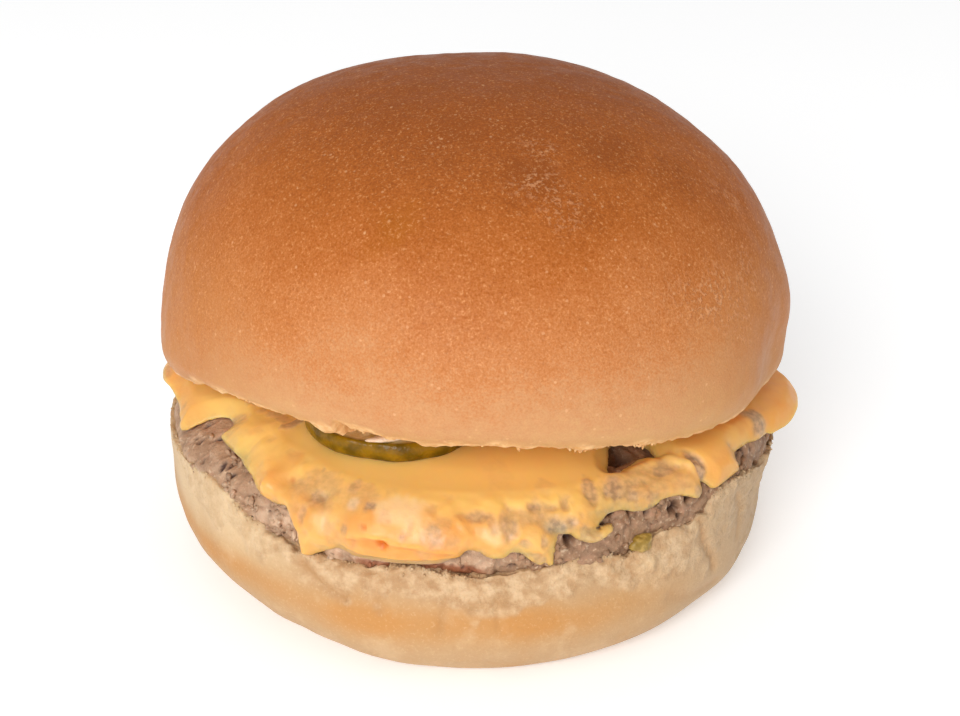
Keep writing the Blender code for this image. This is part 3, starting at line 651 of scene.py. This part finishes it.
PALE_PLACES = (                   # and where it is pale: creamy cheese, with a painted highlight in the broad patch at the front left
    (-103.5, 2.1, 3.4, 1.3, 0.7), (-112.8, 2.0, 0.9, 0.42, 0.9), (-117.5, 4.2, 1.6, 0.8, 0.3),
    (-86.8, 3.8, 1.4, 0.7, 0.5), (-99.0, 3.6, 2.0, 0.5, 0.4),
)
RIDGES = (                        # ((azimuth, path) along it, half width, height)
    (((-132.0, 3.2), (-129.2, 3.4), (-126.8, 3.6), (-124.2, 4.5), (-122.5, 5.9), (-121.8, 7.9),
      (-121.7, 9.6)), 1.1, 0.8),
    (((-145.2, -1.9), (-141.8, -1.5), (-136.5, 0.8), (-133.0, 3.0)), 2.2, 0.5),
    (((-43.8, -6.0), (-46.5, -2.5), (-46.5, -0.4), (-45.8, 0.6), (-44.5, 1.5), (-43.4, 2.3)), 0.9, 0.6),
    (((-93.2, 2.5), (-92.2, 3.0), (-91.0, 3.8), (-92.0, 4.3)), 0.45, 0.35),
    (((-112.6, 7.2), (-108.0, 7.3), (-102.0, 7.2), (-95.0, 6.7), (-93.0, 6.2)), 0.7, 0.35),
)
HOLLOWS = (                       # (azimuth, path, half across, half along, depth)
    (-128.5, 2.1, 1.6, 0.7, 0.55), (-105.9, 4.95, 0.7, 0.35, 1.0), (-120.5, 1.6, 3.0, 1.4, 0.35),
    (-32.8, 2.0, 0.7, 0.2, 0.4),
)
UNDERSIDE = (                     # (azimuth, path) past which the slice's lower layer shows, tan
    (-117.5, 9.2), (-116, 7.7), (-114.8, 6.7), (-113.6, 6.6), (-112.3, 6.8), (-108, 7.2), (-102.8, 7.1),
    (-97, 6.7), (-94, 6.8), (-92, 9.0),
)
SHELF = ((-112.8, 4.9), (-108.2, 4.5), (-104.2, 4.7), (-100.2, 4.9), (-96.2, 5.1), (-91.0, 5.6))

cheese_columns = azimuths(500, 120)
cheese_paths = np.concatenate(([-26.0, -22.0, -19.0], np.arange(-17.0, 11.8, 0.32)))


def unrolled(azimuth, path):
    """Where a place on the slice lies when its outer face is laid flat, in millimetres."""
    stretch = 1.0 + 2.2 / PATTY_CORNER
    corner = np.clip(path, 0, PATTY_ARC)
    return np.stack(np.broadcast_arrays(azimuth * 0.82, path + corner * (stretch - 1)), -1)


def patch(azimuth, path, places):
    """How strongly places mark each spot of the slice: their share in the middle, with a soft edge."""
    marked = np.zeros(np.broadcast(azimuth, path).shape)
    flat_spot = unrolled(azimuth, path)
    solid = np.concatenate((flat_spot, 0 * flat_spot[..., :1]), -1)
    uneven = 0.30 * wobble(solid, 1.6, 41) + 0.22 * wobble(solid, 0.7, 42)
    for at_azimuth, at_path, across, along, share in places:
        away = np.hypot((azimuth - at_azimuth) * 0.8 / across, (path - at_path) / along) + uneven
        marked = np.maximum(marked, share * ease(away, 1.65, 0.65))
    return marked


def inside(azimuth, path, outline):
    """True where a place on the slice is within a closed outline of (azimuth, path)."""
    within = np.zeros(np.broadcast(azimuth, path).shape, bool)
    corners = np.array(outline)
    for (x0, y0), (x1, y1) in zip(corners, np.roll(corners, -1, axis=0)):
        crosses = (y0 > path) != (y1 > path)
        within ^= crosses & (azimuth < (x1 - x0) * (path - y0) / (y1 - y0 + 1e-12) + x0)
    return within


def edge_distance(azimuth, path):
    """Signed distance to the edge of the slice on its unrolled face, positive inside."""
    fine = np.arange(-180, 180, 0.12)
    outline = unrolled(fine, around(fine, CHEESE_EDGE))
    steps = np.linspace(0, 1, 12, endpoint=False)[:, None]
    tear = np.array(TEAR)
    tear_line = np.concatenate([a + (b - a) * steps for a, b in zip(tear, np.roll(tear, -1, axis=0))])
    tear_line = unrolled(tear_line[:, 0], tear_line[:, 1])
    near = kdtree.KDTree(len(outline) + len(tear_line))
    for n, (x, y) in enumerate(np.concatenate((outline, tear_line)).tolist()):
        near.insert((x, y, 0), n)
    near.balance()
    spots = unrolled(azimuth, path)
    away = np.array([near.find((x, y, 0))[2] for x, y in spots.reshape(-1, 2).tolist()])
    away = away.reshape(azimuth.shape)
    kept = (path < around(azimuth, CHEESE_EDGE)) & ~inside(azimuth, path, TEAR)
    away = np.where(kept, away, -away)
    curl = CURL_HALF - path_distance(spots, [unrolled(a, p) for a, p in CURL])
    return np.maximum(away, curl), curl


def slice_faces(distance, columns, paths):
    """Trims the grid of the slice to where the distance is positive, adding points on its edge."""
    rows, count = distance.shape
    azimuth, path = np.meshgrid(columns, paths)
    spots = list(zip(azimuth.ravel().tolist(), path.ravel().tolist()))
    flat_distance = distance.ravel()
    inner = flat_distance > 0
    edge_points = {}

    def edge_point(a, b):
        key = (min(a, b), max(a, b))
        if key not in edge_points:
            share = flat_distance[a] / (flat_distance[a] - flat_distance[b])
            (x0, y0), (x1, y1) = spots[a], spots[b]
            if abs(x1 - x0) > 180:
                x0, x1 = x0 % 360, x1 % 360
            edge_points[key] = len(spots)
            spots.append((x0 + (x1 - x0) * share, y0 + (y1 - y0) * share))
        return edge_points[key]

    faces = []
    for line in range(rows - 1):
        for n in range(count):
            following = (n + 1) % count
            low, high = line * count, (line + 1) * count
            corners = (low + n, low + following, high + following, high + n)
            if inner[list(corners)].all():
                faces.append(corners)
                continue
            if not inner[list(corners)].any():
                continue
            face = []
            for a, b in zip(corners, corners[1:] + corners[:1]):
                if inner[a]:
                    face.append(a)
                if inner[a] != inner[b]:
                    face.append(edge_point(a, b))
            faces.append(tuple(face))
    return np.array(spots), faces, rows * count


azimuth, path = np.meshgrid(cheese_columns, cheese_paths)
distance, _ = edge_distance(azimuth, path)
distance[0] = np.abs(distance[0]) + 5
spots, faces, first_edge = slice_faces(distance, cheese_columns, cheese_paths)
azimuth, path = spots[:, 0], spots[:, 1]
azimuth = (azimuth + 180) % 360 - 180
distance, curl = edge_distance(azimuth, path)
distance[first_edge:] = 0
laid = unrolled(azimuth, path)
solid = np.concatenate((laid, 0 * laid[:, :1]), -1)
meat = np.clip(1.1 * patch(azimuth, path, THIN_PLACES), 0, 1)
draped = ease(path, -1.5, 1.0) * ease(azimuth, -170, -152) * ease(azimuth, -41, -47)
mottle = ease(wobble(solid, 2.3, 47) + 0.5 * wobble(solid, 1.0, 48), 0.15, 0.75)
meat = np.maximum(meat, draped * mottle * (0.24 + 0.31 * ease(azimuth, -98, -78) + 0.15 * ease(azimuth, -76, -62)))
shelf = np.interp(azimuth, *np.array(SHELF).T)
along_front = ease(azimuth, -114.5, -111.5) * ease(azimuth, -90.0, -94.0)
# Painted shade, deep orange: the listed places, and a band below the shelf's crest.
deep = np.maximum(patch(azimuth, path, DEEP_PLACES), 0.22 * along_front * ease(path, shelf - 0.1, shelf + 0.3))
# Creamy patches, and a painted highlight in the broad patch at the front left.
pale = patch(azimuth, path, PALE_PLACES)
lumpy = ease(path, -1.5, 1.5) * (1 - 0.6 * np.exp(-((azimuth + 105) / 9) ** 2))
lumpy = lumpy * (1 - 0.75 * ease(azimuth, -42.5, -40.0)) * (1 - 0.5 * ease(azimuth, -140, -150))
swell = lumpy * (0.36 * wobble(solid, 4.2, 43) + 0.16 * wobble(solid, 2.0, 44)) + 0.12 * wobble(solid, 7.0, 45)
sloping = ease(path, -1.0, -13.0) * ease(path, -25.0, -19.0)
swell = swell + 1.3 * sloping * ease(azimuth, -168, -145) * ease(azimuth, -28, -48)
swell = swell + 0.3 * meat + 0.1 * wobble(solid, 1.0, 46) * lumpy
for line, half_width, height in RIDGES:
    away = path_distance(laid, [unrolled(a, p) for a, p in line])
    swell = swell + height * np.exp(-(away / half_width) ** 2)
for at_azimuth, at_path, across, along, depth in HOLLOWS:
    away = np.hypot((azimuth - at_azimuth) * 0.8 / across, (path - at_path) / along)
    swell = swell - depth * np.exp(-away ** 2)
swell = swell + along_front * 1.35 * ease(path, shelf + 0.3, shelf - 0.05) * ease(path, shelf - 4.0, shelf)
under_line = np.interp(azimuth, *np.array(UNDERSIDE).T, left=20.0, right=20.0)
lower_layer = ease(path - under_line + 0.15 * wobble(solid, 2.0, 49), -0.05, 0.2)
swell = swell - 0.45 * lower_layer
raised = ease(azimuth, -46.5, -43.5) * ease(azimuth, -18.0, -30.0) * ease(path, 3.4, 1.0)
swell = swell + 0.5 * raised
on_curl = ease(curl, -0.4, 0.5) * ease(azimuth, -73.0, -68.5)
round_off = np.sqrt(1 - (1 - np.clip(distance / CHEESE_LIP, 0, 1)) ** 2)
thickness = (CHEESE_THICKNESS * (1 - 0.45 * lumpy * meat) - 0.5 * lumpy) * (0.35 + 0.65 * ease(distance, 0, 3.2))
turn = around(azimuth, CHEESE_TURN)
lower = CHEESE_CLEARANCE + 0.3 * thickness * (1 - round_off) + 0.9 * on_curl
upper = lower + thickness * round_off + swell * round_off
upper[first_edge:] = lower[first_edge:]
top_face = drape(azimuth, path, upper, turn)
under_face = drape(azimuth, path, lower, turn)
inner_count = first_edge
points = np.concatenate((top_face, under_face[:inner_count]))


def under(n):
    """The point of the lower face under a point of the upper one; they share the edge's points."""
    return n + len(top_face) if n < inner_count else n


both = faces + [tuple(under(n) for n in reversed(face)) for face in faces]
inner_ring = list(range(len(cheese_columns)))
middle = len(points)
points = np.concatenate((points, [top_face[inner_ring].mean(0), under_face[inner_ring].mean(0)]))
for a, b in zip(inner_ring, inner_ring[1:] + inner_ring[:1]):
    both.append((middle, b, a))
    both.append((middle + 1, under(a), under(b)))
used = np.zeros(len(points), bool)
used[[n for face in both for n in face]] = True
number = np.cumsum(used) - 1
both = [tuple(int(number[n]) for n in face) for face in both]


def on_both(values):
    """Values at the upper face's points, repeated for the lower face, where points are in use."""
    return np.concatenate((values, values[:inner_count], values[:1], values[:1]))[used]


cheddar = Finish("melted cheese")
tone = cheddar.mix(cheddar.rise(cheddar.noise(3.5, 2.0), 0.35, 0.7), paint(229, 163, 85),
                   paint(233, 174, 97))
# Painted light: the flat top under the crown is painted brighter, standing in for light that the crown's shade takes
# away.
tone = cheddar.mix(cheddar.look("thick"), tone, paint(255, 202, 116))
tone = cheddar.mix(cheddar.look("shaded"), tone, paint(238, 154, 60))
# creamy patches and a painted highlight
tone = cheddar.mix(cheddar.look("pale"), tone, paint(255, 216, 166))
# deep orange painted shade
tone = cheddar.mix(cheddar.look("deep"), tone, paint(216, 112, 8))
tone = cheddar.mix(cheddar.look("tan"), tone, paint(214, 156, 98))
shown = cheddar.mix(cheddar.rise(cheddar.noise(0.9, 3.0), 0.3, 0.7), paint(156, 126, 98), paint(204, 166, 126))
tone = cheddar.mix(cheddar.look("meat"), tone, shown)
relief = cheddar.bump(cheddar.noise(1.4, 2.0) * (1 - cheddar.look("thick")), 0.12)
cheese_finish = cheddar.finished(tone, cheddar.rise(cheddar.noise(2.0), 0.3, 0.7) * 0.12 + 0.36, relief,
                                 specular_ior_level=0.4, subsurface_weight=0.6, subsurface_scale=0.0045,
                                 subsurface_radius=(1.0, 0.55, 0.2), coat_weight=0.06, coat_roughness=0.3)
# The flat top's mask carries painted light, and the deep orange mask carries painted shade.
cheese_piece = skin("cheese_slice", points[used], both, cheese_finish, meat=on_both(meat),
                    deep=on_both(deep), pale=on_both(pale), thick=on_both(ease(path, 3.4, 0.2)),
                    tan=on_both(lower_layer), shaded=on_both(0.3 * ease(azimuth, -46, -38) * ease(azimuth, 40, 10)))
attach(cheese_piece, "root")
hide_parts("cheese")

# ---------------------------------------------------------------------------------------------
# Pickle slice: a round of pickled cucumber, its skin a wet olive green and its flesh pale and
# glassy. It lies on the cheese, half under the crown.
# ---------------------------------------------------------------------------------------------
PICKLE_ROWS = 14
low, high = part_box("pickle_slice")
low, high = np.array(low) / MILLIMETRE, np.array(high) / MILLIMETRE
pickle_centre = (low + high) / 2
pickle_half = (high - low) / 2
count = 260
angle = np.linspace(0, 2 * math.pi, count, endpoint=False)
turn_in = np.concatenate((
    [(share, -1.0) for share in (0.3, 0.6, 0.8, 0.9)],
    [(0.95 + 0.05 * math.cos(a), math.sin(a)) for a in np.linspace(-math.pi / 2, math.pi / 2, 18)],
    [(share, 1.0) for share in (0.9, 0.86, 0.82, 0.78, 0.7, 0.6, 0.5, 0.4, 0.3, 0.2)],
))
rings = []
for share, level in turn_in:
    wave = 1 + 0.012 * np.sin(5 * angle + 1) + 0.008 * np.sin(11 * angle)
    rings.append(np.stack((
        pickle_centre[0] + pickle_half[0] * share * wave * np.cos(angle),
        pickle_centre[1] + pickle_half[1] * share * wave * np.sin(angle),
        np.full(count, pickle_centre[2] + pickle_half[2] * level),
    ), -1))
pickle = np.array(rings)
rind = np.broadcast_to(ease(turn_in[:, 0], 0.93, 0.955)[:, None], pickle.shape[:2])
relief = 0.12 * wobble(pickle, 2.4, 51) + (1 - rind) * 0.15 * wobble(pickle, 1.2, 52)
pickle = pickle + facing(pickle) * relief[..., None]

gherkin = Finish("pickled cucumber")
flesh = gherkin.mix(gherkin.rise(gherkin.noise(1.5, 3.0), 0.3, 0.7), paint(206, 174, 112), paint(236, 214, 164))
peel = gherkin.mix(gherkin.rise(gherkin.noise(2.6, 3.0), 0.35, 0.7), paint(98, 74, 2), paint(142, 106, 8))
tone = gherkin.mix(gherkin.look("rind"), flesh, peel)
gherkin_finish = gherkin.finished(tone, 0.28, gherkin.bump(gherkin.noise(1.0, 2.0), 0.2),
                                  specular_ior_level=0.22, subsurface_weight=0.2,
                                  subsurface_scale=0.0012, subsurface_radius=(0.8, 1.0, 0.3))
pickle_piece = skin("pickle_round", ring_points(pickle), ring_faces(len(pickle), count), gherkin_finish,
                    rind=with_middles(rind))
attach(pickle_piece, "root")
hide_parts("pickle_slice")


def morsel(centre, half_sizes, turn, rough, seed, rings_up=12, around_it=20):
    """Rings of an uneven little lump with given half sizes, turned about the upright."""
    angle = np.linspace(0, 2 * math.pi, around_it, endpoint=False)
    level = np.linspace(-80, 80, rings_up)
    across = np.cos(np.radians(level))[:, None]
    ball = np.stack((across * np.cos(angle), across * np.sin(angle),
                     np.sin(np.radians(level))[:, None] + 0 * angle), -1)
    lump = ball * (1 + rough * wobble(ball + seed, 0.9, seed) + 0.5 * rough * wobble(ball + seed, 0.4, seed + 1))[..., None]
    lump = lump * half_sizes
    cosine, sine = math.cos(math.radians(turn)), math.sin(math.radians(turn))
    spin = np.array(((cosine, sine, 0), (-sine, cosine, 0), (0, 0, 1)))
    return lump @ spin + centre


def joined(lumps):
    """Points and faces of several ring-built lumps as one piece."""
    points, faces = [], []
    for lump in lumps:
        start = sum(len(part) for part in points)
        points.append(ring_points(lump))
        faces += [tuple(n + start for n in face) for face in ring_faces(len(lump), lump.shape[1])]
    return np.concatenate(points), faces


# ---------------------------------------------------------------------------------------------
# Onion sliver: a wet white strip of onion lying on the pickle.
# ---------------------------------------------------------------------------------------------
low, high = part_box("onion_sliver")
onion_centre = (np.array(low) + np.array(high)) / 2 / MILLIMETRE
onion = morsel(onion_centre + (0, -0.3, 0.1), (5.6, 0.9, 0.65), 14, 0.22, 61, 14, 48)
onion[..., 2] += 0.25 * np.sin((onion[..., 0] - onion_centre[0]) * 0.6)
allium = Finish("onion")
tone = allium.mix(allium.rise(allium.noise(1.6, 2.0), 0.35, 0.7), paint(226, 200, 170), paint(246, 228, 210))
onion_finish = allium.finished(tone, 0.3, allium.bump(allium.noise(0.8), 0.15), subsurface_weight=0.3,
                               subsurface_scale=0.0015, subsurface_radius=(1.0, 0.9, 0.7))
points, faces = joined([onion])
onion_piece = skin("onion_strip", points, faces, onion_finish)
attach(onion_piece, "root")
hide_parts("onion_sliver")

# ---------------------------------------------------------------------------------------------
# Pickle scrap: a bit of pickle that slid down between the patty and the heel's torn edge.
# ---------------------------------------------------------------------------------------------
low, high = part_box("pickle_scrap")
scrap_centre = (np.array(low) + np.array(high)) / 2 / MILLIMETRE
scrap = morsel(scrap_centre + (-0.3, 0, 1.0), (2.0, 1.2, 1.6), 33, 0.2, 63, 14, 26)
relish = Finish("pickle scrap")
tone = relish.mix(relish.rise(relish.noise(1.0, 2.0), 0.35, 0.7), paint(140, 110, 36), paint(180, 146, 72))
relish_finish = relish.finished(tone, 0.3, relish.bump(relish.noise(0.8), 0.15), subsurface_weight=0.2,
                                subsurface_scale=0.001, subsurface_radius=(0.8, 1.0, 0.3))
points, faces = joined([scrap])
scrap_piece = skin("relish_bit", points, faces, relish_finish)
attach(scrap_piece, "root")
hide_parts("pickle_scrap")

# ---------------------------------------------------------------------------------------------
# Crown: the upper half of the bun, proved to a full dome and baked. Its crust is deep golden
# brown on top, speckled with tiny blisters, and fades to a pale, torn rim where it was sliced.
# ---------------------------------------------------------------------------------------------
CROWN_CENTRE = (-0.1, 0.5, 41.7)
CROWN_RADIUS = (
    (-180, 50.4), (-135, 48.8), (-90, 50.0), (-45, 51.0), (-10, 50.7), (20, 49.2), (45, 48.2), (90, 50.0),
    (135, 50.6), (160, 50.2),
)
CROWN_SIDE_SAG = 4.4
CROWN_SAG_REACH = 0.8
CROWN_HEIGHT = 38.0
CROWN_FULLNESS = 2.11
CROWN_TILT = (-5.2, 0.4)          # degrees about X and Y: the front is propped open
CROWN_RIM_RADIUS = (
    (-180, 48.7), (-165, 46.8), (-145, 44.6), (-90, 44.3), (-45, 45.5), (-20, 47.2), (0, 48.0),
    (45, 45.5), (90, 44.8), (135, 46.6),
)
CROWN_RIM_HEIGHT = (
    (-180, 32.9), (-160, 35.2), (-140, 39.0), (-123, 40.0), (-117, 39.2), (-114.9, 38.9), (-114.0, 40.9),
    (-110, 40.5), (-105, 40.0), (-99, 39.6), (-88, 39.4), (-80, 38.9), (-60, 36.6), (-40, 34.0),
    (-20, 33.0), (0, 32.5), (60, 30.7), (120, 30.8), (160, 32.2),
)
CROWN_CUT_CURVE = 1.7
CROWN_CUT_DRAPE = 3.0
CROWN_LOWER_TURN = math.radians(80)
CROWN_DARKER = (                  # (azimuth, height, half size, share) where it browned more
    (-76, 73.5, 4.5, 0.8), (-68, 70.0, 4.0, 0.5), (-50, 74.0, 5.0, 0.6), (-40, 70.0, 5.5, 0.8),
    (-30, 66.0, 5.0, 0.6), (-95, 77.0, 5.0, 0.4), (-33, 60.0, 4.0, 0.5),
)
CROWN_LIGHTER = (                 # and less
    (-112, 60.0, 8.0, 0.6), (-60, 64.0, 5.0, 0.5), (-140, 62.0, 6.0, 0.4),
)
CROWN_BLISTERS = (                # where tiny pale blisters crowd
    (-72, 76.0, 3.0, 0.7), (-76, 73.2, 4.0, 0.9), (-72, 70.7, 3.5, 0.6), (-46, 57.0, 5.0, 0.9),
    (-40, 53.0, 4.5, 0.7), (-54, 59.0, 3.5, 0.4), (-35, 57.0, 4.0, 0.6), (-26, 66.0, 4.0, 0.4),
)
CROWN_OCHRE = ((-106, 69.2, 3.4, 0.9), (-110, 66.0, 2.6, 0.4))
CROWN_SWELLS = (                  # (x, y, z, half size, how far it stands out)
    (14, 18, 78.5, 11, 0.7), (26, 14, 76.0, 8, 0.3), (38, 12, 67, 12, -0.8), (48, 5, 54, 10, -0.7),
    (-30, 14, 73, 13, 0.8), (-46, 6, 60, 10, 0.3), (48, -12, 47, 5, 0.5), (46, -20, 40, 7, -1.8), (50, -7, 38, 5, -0.7), (-47, -14, 39, 7, 0.7),
)
SLICE_TOP = 30.1                  # the height of the flat cheese that the crown has settled on
GAP = 0.3

crown_columns = azimuths(400, 160)
tilt = np.array(Matrix.Rotation(math.radians(CROWN_TILT[0]), 3, "X")
                @ Matrix.Rotation(math.radians(CROWN_TILT[1]), 3, "Y"))


def crown_ring(share, height):
    """One ring of the tilted dome, at a share of its widest radius and a height above that ring."""
    side = np.cos(np.radians(crown_columns)) ** 2
    sag = CROWN_SIDE_SAG * side * max(1 - height / (CROWN_SAG_REACH * CROWN_HEIGHT), 0) ** 2
    ring = place(crown_columns, around(crown_columns, CROWN_RADIUS) * share, height - sag)
    return ring @ tilt.T + CROWN_CENTRE


widest_ring = crown_ring(1, 0)
rim = place(crown_columns, around(crown_columns, CROWN_RIM_RADIUS), around(crown_columns, CROWN_RIM_HEIGHT))
rim = rim + (*CROWN_CENTRE[:2], 0)
rings = []
for share in (0.2, 0.35, 0.5, 0.62, 0.74, 0.82, 0.88, 0.92, 0.95, 0.97, 0.985):
    ring = rim * (share, share, 1)
    away = np.linalg.norm(ring[:, :2] - pickle_centre[:2], axis=-1) - pickle_half[0] - CROWN_CUT_DRAPE
    settled = SLICE_TOP + GAP + (rim[:, 2] - SLICE_TOP - GAP) * share ** CROWN_CUT_CURVE
    over_pickle = pickle_centre[2] + pickle_half[2] + GAP - np.maximum(away, 0)
    ring[:, 2] = np.maximum(settled, over_pickle)
    rings.append(ring)
cut_rows = len(rings)
for angle in np.linspace(CROWN_LOWER_TURN, 0, 36, endpoint=False):
    inward = (1 - math.cos(angle)) / (1 - math.cos(CROWN_LOWER_TURN))
    downward = math.sin(angle) / math.sin(CROWN_LOWER_TURN)
    ring = widest_ring + (rim - widest_ring) * np.array((inward, inward, downward))
    rings.append(ring)
for angle in np.linspace(0, math.pi / 2, 104, endpoint=False):
    share = math.cos(angle) ** (2 / CROWN_FULLNESS)
    rings.append(crown_ring(share, CROWN_HEIGHT * math.sin(angle) ** (2 / CROWN_FULLNESS)))
crown = np.array(rings)
row = np.arange(len(crown))[:, None]
above_rim = crown[..., 2] - rim[:, 2]
on_cut = row < cut_rows
relief = 0.28 * wobble(crown, 18.0, 71) + 0.08 * wobble(crown, 6.0, 72) + 0.05 * wobble(crown, 1.6, 73)
torn = 1.6 + 1.0 * wobble(crown, 3.0, 74) + 1.2 * np.exp(-((crown_columns + 117) / 3) ** 2)
crumb = np.where(on_cut, 1.0, ease(torn - above_rim, -0.9, 0.6))
pores, _ = grains(crown, 1.3, 75)
relief = relief + crumb * (0.22 * wobble(crown, 1.5, 76) + 0.3 * (pores - 0.55))
for x, y, z, half, out in CROWN_SWELLS:
    relief = relief + out * np.exp(-(np.linalg.norm(crown - (x, y, z), axis=-1) / half) ** 2)
normal = facing(crown)
near_rim = np.exp(-(above_rim / 1.5) ** 2) * np.where(on_cut, 0.5, 1)
ragged = near_rim * (0.45 * wobble(crown, 2.4, 77) + 0.3 * wobble(crown, 0.9, 78))
crown = crown + normal * relief[..., None]
crown[..., 2] += ragged


def on_crown(azimuth, height):
    """The point of the crust at an azimuth and a height."""
    column = np.argmin(abs(crown_columns - azimuth))
    dome = crown[cut_rows:, column]
    return dome[np.argmin(abs(dome[:, 2] - height))]


def marks(places, seed):
    """How strongly places (azimuth, height, half size, share) mark each point, with uneven edges."""
    uneven = 0.35 * wobble(crown, 4.0, seed) + 0.25 * wobble(crown, 1.5, seed + 1)
    marked = np.zeros(crown.shape[:2])
    for azimuth, height, half, share in places:
        away = np.linalg.norm(crown - on_crown(azimuth, height), axis=-1) / half + uneven
        marked = np.maximum(marked, share * ease(away, 1.4, 0.3))
    return marked


brown = (crown[..., 2] - 35.0) / 45.0 + 0.04 * wobble(crown, 14.0, 79) + 0.03 * wobble(crown, 4.5, 80)
brown = brown + 0.2 * ease(abs(crown[..., 0]), 34, 50) + 0.16 * marks(CROWN_DARKER, 81) - 0.10 * marks(CROWN_LIGHTER, 83)
warm = ease(abs(crown[..., 0]), 22, 46) * ease(crown[..., 2], 66, 52)
blister = marks(CROWN_BLISTERS, 85)
ochre = marks(CROWN_OCHRE, 87)

crust = Finish("bun crust")
fine = crust.noise(0.32, 2.0, 0.6)
mottle = crust.noise(2.2, 4.0, 0.6)
busy = crust.rise(crust.look("brown"), 0.15, 0.6)
baked = crust.look("brown") + (fine - 0.5) * (busy * 0.5 + 0.22) + (mottle - 0.5) * 0.22
height_tone = crust.ramp(baked, (0.0, paint(206, 163, 108)), (0.12, paint(203, 155, 104)),
                         (0.25, paint(198, 143, 97)), (0.4, paint(193, 125, 75)), (0.58, paint(182, 108, 55)),
                         (0.75, paint(169, 93, 37)), (1.0, paint(144, 75, 27)))
tone = crust.mix(crust.look("warm") * 0.5, height_tone, paint(184, 117, 56))
tone = crust.mix(crust.look("ochre") * 0.5, tone, paint(164, 92, 24))
speckle = crust.noise(0.5, 3.0, 0.7)
tone = crust.mix(crust.rise(speckle, 0.54, 0.7) * (busy * 0.3 + 0.12), tone, paint(228, 166, 110))
tone = crust.mix(crust.rise(speckle, 0.46, 0.3) * (busy * 0.3 + 0.05), tone, paint(134, 68, 30))
crowded = crust.rise(crust.noise(0.8, 3.0, 0.65), 0.5, 0.62)
tone = crust.mix(crowded * crust.look("blister") * 0.5, tone, paint(230, 168, 120))
flecks = crust.spots(1.5)
scattered = crust.rise(crust.noise(2.6), 0.5, 0.62)
tone = crust.mix(crust.rise(flecks, 0.2, 0.1) * scattered * 0.26, tone, paint(242, 196, 148))
tone = crust.mix(crust.look("crumb"), tone, crust.mix(crust.rise(crust.noise(1.2, 3.0), 0.35, 0.7),
                                                      paint(216, 164, 108), paint(234, 192, 140)))
relief = crust.bump(fine * 0.5 + crowded * crust.look("blister") * 0.8 + mottle * 0.5, 0.12)
crust_finish = crust.finished(tone, crust.rise(crust.noise(3.0, 2.0), 0.3, 0.7) * 0.12 + 0.38, relief,
                              specular_ior_level=0.08, subsurface_weight=0.08,
                              subsurface_scale=0.0015, subsurface_radius=(1.0, 0.5, 0.25))
bits = np.exp(-(above_rim / 0.7) ** 2) * ease(wobble(crown, 4.0, 89), -0.2, 0.5)
crown_piece = skin("crown_bread", ring_points(crown), ring_faces(len(crown), len(crown_columns)),
                   crust_finish, crumb=with_middles(crumb), brown=with_middles(brown),
                   blister=with_middles(blister), ochre=with_middles(ochre), warm=with_middles(warm), loose=with_middles(bits))
strew(crown_piece, 1.1, 0.2, 0.5, 9)
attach(crown_piece, "root")
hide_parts("crown")

# ---------------------------------------------------------------------------------------------
# Studio: a pale floor, a soft key light from the front left and above, and a weak fill.
# ---------------------------------------------------------------------------------------------
FLOOR_SIZE = 4.0
half = FLOOR_SIZE / 2
floor_mesh = bpy.data.meshes.new("floor")
floor_mesh.from_pydata([(-half, -half, 0), (half, -half, 0), (half, half, 0), (-half, half, 0)], [],
                       [(0, 1, 2, 3)])
paper = Finish("pale floor")
paper_tone = paper.mix(paper.noise(400.0), paint(246, 246, 246), paint(248, 248, 248))
floor_mesh.materials.append(paper.finished(
    paper_tone, 0.8, paper.bump(paper.noise(300.0), 0.01), specular_ior_level=0.0,
    emission_color=(1.0, 1.0, 1.0, 1), emission_strength=0.26,
))
floor = bpy.data.objects.new("floor", floor_mesh)
bpy.context.scene.collection.objects.link(floor)

LIGHTS = (                        # (name, place, size, power in watts)
    ("key", (-0.34, -0.99, 0.68), 0.5, 8.6),
    ("low", (-0.16, -1.12, 0.30), 0.4, 2.2),
    ("top", (0.05, 0.20, 1.10), 1.0, 1.6),
)
for name, spot, size, power in LIGHTS:
    lamp = bpy.data.lights.new(name, "AREA")
    lamp.size = size
    lamp.energy = power
    light = bpy.data.objects.new(name, lamp)
    light.location = spot
    light.rotation_euler = (Vector((0, 0, 0.03)) - Vector(spot)).to_track_quat("-Z", "Y").to_euler()
    bpy.context.scene.collection.objects.link(light)

world = bpy.data.worlds.new("white room")
world.use_nodes = True
world.node_tree.nodes["Background"].inputs["Color"].default_value = (1.0, 1.0, 1.0, 1)
world.node_tree.nodes["Background"].inputs["Strength"].default_value = 0.49
bpy.context.scene.world = world
bpy.context.scene.view_settings.view_transform = "Standard"

# The camera looks down at the open front from about a hand's length away.
CAMERA_DISTANCE = 0.300
CAMERA_ELEVATION = math.radians(27.5)
CAMERA_LENS = 67.95
AIM = Vector((0.00077, 0, 0.028))
AIM_RISE = 0.00229                # the view is aimed this much above the middle
forward = Vector((0, math.cos(CAMERA_ELEVATION), -math.sin(CAMERA_ELEVATION)))
upward = Vector((0, math.sin(CAMERA_ELEVATION), math.cos(CAMERA_ELEVATION)))
camera = bpy.data.objects.new("camera", bpy.data.cameras.new("camera"))
camera.data.lens = CAMERA_LENS
camera.data.sensor_width = 36
camera.data.clip_start = 0.01
camera.location = Vector((0, 0, AIM.z)) - forward * CAMERA_DISTANCE
look = AIM + upward * AIM_RISE - camera.location
camera.rotation_euler = look.to_track_quat("-Z", "Y").to_euler()
bpy.context.scene.collection.objects.link(camera)
bpy.context.scene.camera = camera
